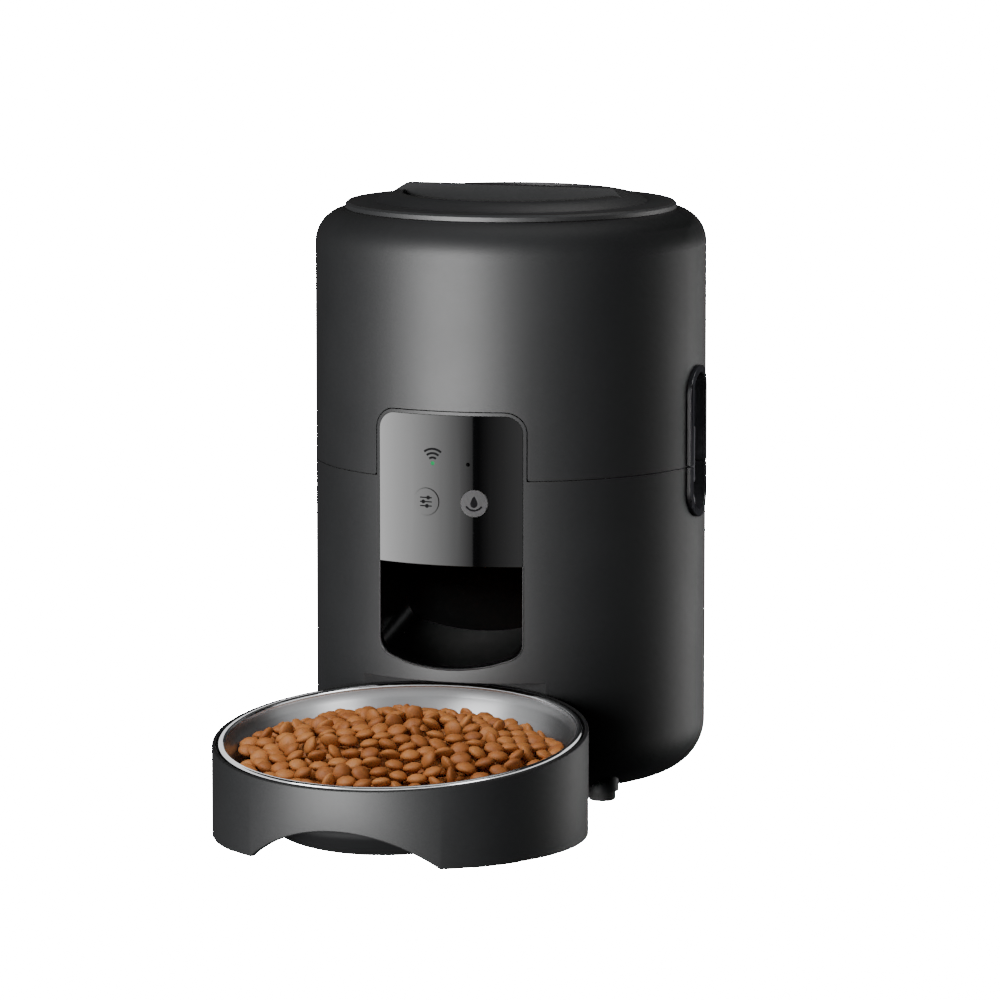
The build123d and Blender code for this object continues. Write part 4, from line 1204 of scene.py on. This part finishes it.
Finishes = dict[str, Material]
RECIPES = {
    "shell": MouldedPlastic("shell_plastic", Tone.SHELL, 0.54),
    # The mouth edge's finish: shell plastic coloured lighter, a painted highlight along the mouth.
    "edge": MouldedPlastic("mouth_edge_painted_highlight", Tone.EDGE, 0.3),
    "inner": MouldedPlastic("inner_plastic", Tone.INNER, 0.5, 1200.0),
    "bezel": MouldedPlastic("lock_rim_plastic", Tone.BEZEL, 0.36),
    "tray": MouldedPlastic("lock_tray_plastic", Tone.TRAY, 0.4),
    "slider": MouldedPlastic("slider_plastic", Tone.SLIDER, 0.38),
    "gloss": PolishedPlastic("panel_gloss", Tone.GLOSS, 0.05),
    "chute": PolishedPlastic("chute_gloss", Tone.GLOSS, 0.28),
    "feed_button": MouldedPlastic("feed_button_plastic", Tone.BUTTON_GREY, 0.3),
    "lamp": Lamp("lamp_green", Tone.LAMP),
    "window": PolishedPlastic("light_window", Tone.WINDOW, 0.08),
    "rubber": SoftRubber("foot_rubber", Tone.RUBBER),
    "seal": SoftRubber("seal_silicone", Tone.SEAL, 0.5),
    "print_light": Ink("print_light", Tone.PRINT),
    "print_dark": Ink("print_dark", Tone.PRINT_DARK, 0.85),
    "food": BakedFood("baked_food"),
    "gear": MouldedPlastic("gear_acetal", Tone.ACETAL, 0.35, 900.0, 0.15),
    "paddle": MouldedPlastic("paddle_plastic", Tone.PADDLE, 0.42),
    "board": Laminate("circuit_board"),
    "motor": PlainMetal("motor_can", (0.42, 0.43, 0.44), 0.35),
    "shaft": PlainMetal("shaft_metal", (0.55, 0.55, 0.56), 0.22),
    "screw": PlainMetal("screw_metal", (0.35, 0.35, 0.36), 0.3),
    "contact": PlainMetal("contact_metal", (0.6, 0.58, 0.52), 0.28),
    "bush": PlainMetal("bush_bronze", Tone.BRONZE.value, 0.42),
}
SIDES = ("right", "left")


@dataclass
class Housing:
    """The small mouldings round the drum and its two locks: frame nodes with rounded edges."""

    frame: dict
    finishes: Finishes

    def castings(self) -> list[tuple[Casting, str]]:
        """Every casting with its finish's key."""
        rows = [
            (Casting("bottom_cover", "base", "shell", 0.3), "inner"),
            (Casting("battery_door", "base", "shell", 0.3), "inner"),
            (Casting("tower_back_cover", "base", "inner_plastic", 0.3), "inner"),
            (Casting("rotor_wheel", "rotor", "paddle", 0.6), "paddle"),
            (Casting("rubber_feet", "base", "rubber", 0.4, 3), "rubber"),
        ]
        for side in SIDES:
            slider = "lock_slider_" + side
            rows += [
                (Casting("lock_bezel_upper_" + side, "hopper", "bezel", 0.5, 3), "bezel"),
                (Casting("lock_bezel_lower_" + side, "base", "bezel", 0.5, 3), "bezel"),
                (Casting("lock_track_" + side, "hopper", "tray", 0.25), "tray"),
                (Casting("lock_keeper_" + side, "base", "tray", 0.25), "tray"),
                (Casting(slider, slider, "slider", 0.4, 3), "slider"),
            ]
        return rows

    def build(self) -> None:
        """Makes every casting and reports it."""
        for casting, key in self.castings():
            piece = casting.make(self.frame, self.finishes[key])
            LOG.info("%s: %d faces", piece.name, len(piece.data.polygons))


@dataclass
class Controls:
    """The marks on the panel, the buttons and the two sliders. Millimetres, but for axis_y."""

    finishes: Finishes
    axis_y: float
    light_x: float = -6.5
    light_z: float = 157.1
    set_x: float = -9.6
    feed_x: float = 13.1
    button_z: float = 139.6
    button_front: float = 90.6
    icon_z: float = 159.2
    bar_z: float = 153.5

    def panel_marks(self) -> None:
        """Three arcs over the lamp."""
        ink = Print("panel_print", Ground.PANEL, self.axis_y)
        foot = (self.light_x, self.light_z)
        marks = [ink.line(arc(foot, r, 51.0, 129.0, 22), 0.95) for r in (2.6, 4.55, 6.5)]
        ink.make(marks, "base", "gloss_panel", self.finishes["print_dark"])

    def button_marks(self) -> None:
        """A plain slider symbol on one button, and a drop over a dish on the other."""
        x, z = self.set_x, self.button_z
        ink = Print("set_print", Ground.BUTTON, self.axis_y, self.button_front)
        marks = []
        for row, knob in ((1.9, 1.1), (0.0, -1.3), (-1.9, 0.5)):
            span = np.stack([np.linspace(x - 2.9, x + 2.9, 9), np.full(9, z + row)], -1)
            marks += [ink.line(span, 0.55), ink.badge(circle(x + knob, z + row, 0.9, 20))]
        ink.make(marks, "set_button", "button", self.finishes["print_dark"])
        x = self.feed_x
        ink = Print("feed_print", Ground.BUTTON, self.axis_y, self.button_front)
        t = around(36)
        drop = np.stack([x + 2.1 * np.sin(t) * np.sin(t / 2.0), z + 0.75 + 2.6 * np.cos(t)], -1)
        dish = arc((x, z + 1.2), 4.3, 215.0, 325.0, 24)
        ink.make([ink.badge(drop), ink.line(dish, 0.8)], "feed_button", "button",
                 self.finishes["print_dark"])

    def slider_marks(self) -> None:
        """A padlock, a fine line and a light bar on each slider."""
        z = self.icon_z
        body = soft_box(1.7, z - 1.6, z + 0.7, 0.35, 5)
        bar = soft_box(5.6, self.bar_z - 0.8, self.bar_z + 0.8, 0.3, 4)
        shackle = np.concatenate([[(-1.05, z + 0.6)], arc((0.0, z + 1.3), 1.05, 180.0, 0.0, 15),
                                  [(1.05, z + 0.6)]])
        for side in SIDES:
            ink = Print("slider_print_" + side, Ground("slider_" + side), self.axis_y)
            marks = [ink.badge(body), ink.line(shackle, 0.5), ink.badge(bar)]
            ink.make(marks, "lock_slider_" + side, "slider", self.finishes["print_light"])

    def build(self) -> None:
        """Makes all the marks."""
        self.panel_marks()
        self.button_marks()
        self.slider_marks()


@dataclass
class Works:
    """The frame nodes that keep their shape and only take a finish."""

    frame: dict
    finishes: Finishes
    nodes: tuple = (
        ("shell", "base_shell hopper_shell lid_cover"),
        ("chute", "food_chute"),
        ("gloss", "front_panel set_button"),
        ("feed_button", "feed_button"),
        ("inner", "rotor_deck hopper_funnel gear_cover battery_box desiccant_box desiccant_door"),
        # The microphone takes the dark rubber so its pinhole reads black: painted shade in the
        # hole.
        ("rubber", "microphone bowl_pads"),
        ("screw", "deck_screws bottom_screws gear_screws"),
        ("gear", "drive_gear motor_pinion"),
        ("board", "main_board button_board"),
        ("motor", "gear_motor power_socket"),
        ("contact", "battery_contacts"),
        ("lamp", "signal_led"),
        ("window", "sensor_window"),
        ("bush", "shaft_bush"),
        ("shaft", "rotor_shaft"),
        ("seal", "lid_seal"),
    )

    def dress(self) -> None:
        """Gives each remaining node its material."""
        for key, names in self.nodes:
            for name in names.split():
                for slot in self.frame["nodes"][name].material_slots:
                    slot.link = "OBJECT"
                    slot.material = self.finishes[key]
                LOG.info("%s: dressed", name)


# ---------------------------------------------------------------- studio


class Lit(Enum):
    """The groups of pieces that a lamp can be kept to."""

    ALL = "all"
    SHELL = "shell"
    GLOSS = "gloss"
    FOOD = "food"
    STEEL = "steel"
    CHUTE = "chute"
    LOCK = "lock"
    LID = "lid"


LOCKS = tuple(f"lock_{part}_{side}" for side in SIDES
              for part in ("bezel_upper", "bezel_lower", "track", "keeper", "slider"))
GROUPS = {
    Lit.GLOSS: ("front_panel", "set_button", "feed_button", "set_print", "feed_print",
                "panel_print", "signal_led", "mouth_rim"),
    Lit.FOOD: ("food_pieces",),
    Lit.STEEL: ("dish",),
    Lit.CHUTE: ("food_chute", "sensor_window"),
    Lit.LID: ("lid_cover",),
    Lit.LOCK: (*LOCKS, "slider_print_right", "slider_print_left"),
}


@dataclass(frozen=True)
class Softbox:
    """One rectangular area lamp aimed at a point, and kept to one group of pieces."""

    name: str
    place: tuple[float, float, float]
    size: tuple[float, float]
    power: float
    target: tuple[float, float, float] = (0.0, 0.05, 0.14)
    lit: Lit = Lit.ALL
    colour: Colour = (1.0, 1.0, 1.0)

    def make(self) -> Object:
        """Adds the lamp."""
        lamp = bpy.data.lights.new(self.name, "AREA")
        lamp.shape = "RECTANGLE"
        lamp.size, lamp.size_y = self.size
        lamp.energy = self.power
        lamp.color = self.colour
        piece = bpy.data.objects.new(self.name, lamp)
        piece.location = self.place
        aim = Vector(self.target) - Vector(self.place)
        piece.rotation_euler = aim.to_track_quat("-Z", "Y").to_euler()
        bpy.context.scene.collection.objects.link(piece)
        return piece


@dataclass(frozen=True)
class GlowWall:
    """An upright curved wall of light round the drum, whose glow changes evenly with the angle.

    A point at angle a and height z is (R sin a, Y - R cos a, z), with a counted from the front.
    """

    name: str
    start: float
    end: float
    low: float
    high: float
    first: float
    last: float
    lit: Lit = Lit.GLOSS
    radius: float = 2.2
    axis_y: float = 0.072
    columns: int = 25

    def make(self) -> Object:
        """Adds the wall, which only reflections see."""
        a = np.radians(np.linspace(self.start, self.end, self.columns))[None, :]
        z = np.array([self.low, self.high])[:, None]
        x, y = self.radius * np.sin(a), self.axis_y - self.radius * np.cos(a)
        verts = np.stack(np.broadcast_arrays(x, y, z), -1).reshape(-1, 3)
        g = Graph(self.name)
        split = g.node("ShaderNodeSeparateXYZ", {}, {0: g.place()})
        side, depth = Link(g, split.outputs[0]), Link(g, split.outputs[1])
        ends = {0: side, 1: self.axis_y - depth}
        angle = g.node("ShaderNodeMath", {"operation": "ARCTAN2"}, ends).outputs[0]
        limits = {0: angle, 1: math.radians(self.start), 2: math.radians(self.end),
                  3: self.first, 4: self.last}
        level = Link(g, g.node("ShaderNodeMapRange", {}, limits).outputs[0])
        strength = max(self.first, self.last)
        glow = g.blend(level / strength, (0.0, 0.0, 0.0), (1.0, 1.0, 1.0))
        material = g.finish(Base_Color=(0.0, 0.0, 0.0), Specular_IOR_Level=0.0, Roughness=1.0,
                            Emission_Color=glow, Emission_Strength=strength)
        faces = quads(2, self.columns, False, False).tolist()
        piece = new_object(self.name, verts, faces, material)
        for ray in ("camera", "diffuse", "shadow", "transmission"):
            setattr(piece, "visible_" + ray, False)
        return piece


@dataclass
class Studio:
    """Pale floor, softboxes and camera."""

    eye: tuple[float, float, float] = (0.8883, -2.52695, 0.5179)
    heading: float = 108.975
    pitch: float = 8.065
    lens: float = 215.7
    floor_half: float = 40.0
    floor_glow: float = 40.0
    sensor: float = 36.0
    sky: Colour = (0.9, 0.95, 1.0)
    sky_strength: float = 0.018

    def floor(self) -> None:
        """A large pale floor with a trace of unevenness and a glow of its own."""
        g = Graph("studio_floor")
        cloud = g.noise(g.place(), 0.8, 2.0)
        colour = g.blend(cloud, (0.86, 0.86, 0.86), (0.9, 0.9, 0.9))
        material = g.finish(Base_Color=colour, Roughness=0.9, Specular_IOR_Level=0.1,
                            Emission_Color=(1.0, 1.0, 1.0), Emission_Strength=self.floor_glow)
        h = self.floor_half
        corners = np.array([(-h, -h, 0.0), (h, -h, 0.0), (h, h, 0.0), (-h, h, 0.0)])
        piece = new_object("studio_floor", corners, [[0, 1, 2, 3]], material)
        for ray in ("glossy", "diffuse", "shadow"):
            setattr(piece, "visible_" + ray, False)

    def lights(self) -> list[tuple[Object, Lit]]:
        """The lamps, each with the group it lights."""
        bowl, lock = (0.0, -0.08, 0.04), (0.09, 0.07, 0.16)
        boxes = (
            Softbox("key", (-0.6, -1.95, 0.12), (1.35, 1.3), 152.0, lit=Lit.SHELL),
            Softbox("rim_right", (1.4, 1.95, 0.3), (1.3, 1.8), 27.0, lit=Lit.SHELL),
            Softbox("top", (0.0, 0.3, 2.4), (2.0, 2.0), 14.0, lit=Lit.SHELL),
            Softbox("lid_key", (-0.6, -1.95, 0.3), (1.35, 1.3), 205.0, lit=Lit.LID),
            Softbox("lid_top", (0.4, 0.9, 2.2), (1.2, 1.2), 12.0, lit=Lit.LID),
            Softbox("lid_right", (1.6, 1.4, 0.5), (1.0, 1.2), 30.0, lit=Lit.LID),
            Softbox("food_top", (-0.7, -0.9, 1.5), (0.9, 0.9), 32.0, bowl, Lit.FOOD),
            Softbox("food_front", (0.9, -1.9, 1.0), (0.8, 0.8), 10.0, bowl, Lit.FOOD),
            Softbox("dish_left", (-0.95, -1.2, 1.0), (0.8, 0.9), 15.0, bowl, Lit.STEEL),
            Softbox("dish_right", (1.4, -0.8, 1.1), (0.7, 0.8), 11.0, bowl, Lit.STEEL),
            Softbox("dish_top", (0.0, 0.2, 2.0), (1.4, 1.4), 6.0, bowl, Lit.STEEL),
            Softbox("panel_fill", (0.3, -1.8, 1.6), (1.2, 1.0), 50.0, lit=Lit.GLOSS),
            Softbox("chute_fill", (-0.5, -1.7, 1.0), (0.5, 0.5), 9.0, lit=Lit.CHUTE),
            Softbox("chute_right", (0.9, -1.6, 0.7), (0.4, 0.4), 4.0, lit=Lit.CHUTE),
            Softbox("lock_key", (-0.6, -1.95, 0.12), (1.35, 1.3), 36.0, lit=Lit.LOCK),
            Softbox("lock_side", (2.0, -0.1, 0.9), (1.0, 1.2), 60.0, lock, Lit.LOCK),
        )
        walls = (
            GlowWall("wall_left", -64.0, -3.0, -1.2, 1.6, 8.2, 0.5),
            GlowWall("wall_right", 0.0, 60.0, -1.2, 1.6, 0.0, 1.6),
            GlowWall("dish_wall", -180.0, 180.0, 0.1, 1.8, 1.4, 1.4, Lit.STEEL),
        )
        return [(lamp.make(), lamp.lit) for lamp in (*boxes, *walls)]

    def link(self, lamps: list[tuple[Object, Lit]]) -> None:
        """Keeps each lamp to its group's pieces; a piece in no group belongs with the shell.

        Args:
            lamps: Lamps and their groups.
        """
        sets = {lit: bpy.data.collections.new("lit_" + lit.value) for lit in Lit}
        for piece in bpy.context.scene.objects:
            if piece.type != "MESH":
                continue
            name = piece.name.removesuffix("_form")
            group = next((g for g, names in GROUPS.items() if name in names), Lit.SHELL)
            sets[group].objects.link(piece)
        for lamp, lit in lamps:
            if lit is not Lit.ALL:
                lamp.light_linking.receiver_collection = sets[lit]

    def world(self) -> None:
        """A dim, plain surround."""
        world = bpy.data.worlds.new("studio")
        bpy.context.scene.world = world
        world.use_nodes = True
        back = world.node_tree.nodes["Background"]
        back.inputs["Color"].default_value = (*self.sky, 1.0)
        back.inputs["Strength"].default_value = self.sky_strength

    def camera(self) -> None:
        """The camera, at its heading and pitch."""
        data = bpy.data.cameras.new("camera")
        data.lens = self.lens
        data.sensor_width = self.sensor
        data.dof.use_dof = False
        piece = bpy.data.objects.new("camera", data)
        a, p = math.radians(self.heading), math.radians(self.pitch)
        aim = Vector((math.cos(a) * math.cos(p), math.sin(a) * math.cos(p), -math.sin(p)))
        piece.location = self.eye
        piece.rotation_euler = aim.to_track_quat("-Z", "Y").to_euler()
        bpy.context.scene.collection.objects.link(piece)
        bpy.context.scene.camera = piece

    def build(self) -> None:
        """Makes the studio, once every piece of the object is there."""
        self.camera()
        self.floor()
        self.link(self.lights())
        self.world()


def main() -> None:
    """Builds the feeder's looks round its frame."""
    logging.basicConfig(level=logging.INFO, format="%(name)s: %(message)s")
    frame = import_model()
    low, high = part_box("hopper_shell")
    axis_y = (low.y + high.y) / 2
    stand_low, stand_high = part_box("bowl_stand")
    bowl_y = (stand_low.y + stand_high.y) / 2
    finishes = {key: recipe.make() for key, recipe in RECIPES.items()}
    Housing(frame, finishes).build()
    dish = SteelDish((0.0, bowl_y, RIM_Z))
    steel = SpunSteel("dish_steel", dish.centre, math.radians(dish.tilt)).make()
    dish.make(steel)
    StandShell(dish).make(finishes["shell"])
    # The mouth rim's finish is painted lighter than the shell's, a painted highlight.
    WindowRim(axis_y).make(finishes["edge"])
    FoodHeap(dish).make(finishes["food"])
    Controls(finishes, axis_y).build()
    Works(frame, finishes).dress()
    Studio().build()


if __name__ == "__main__":
    main()
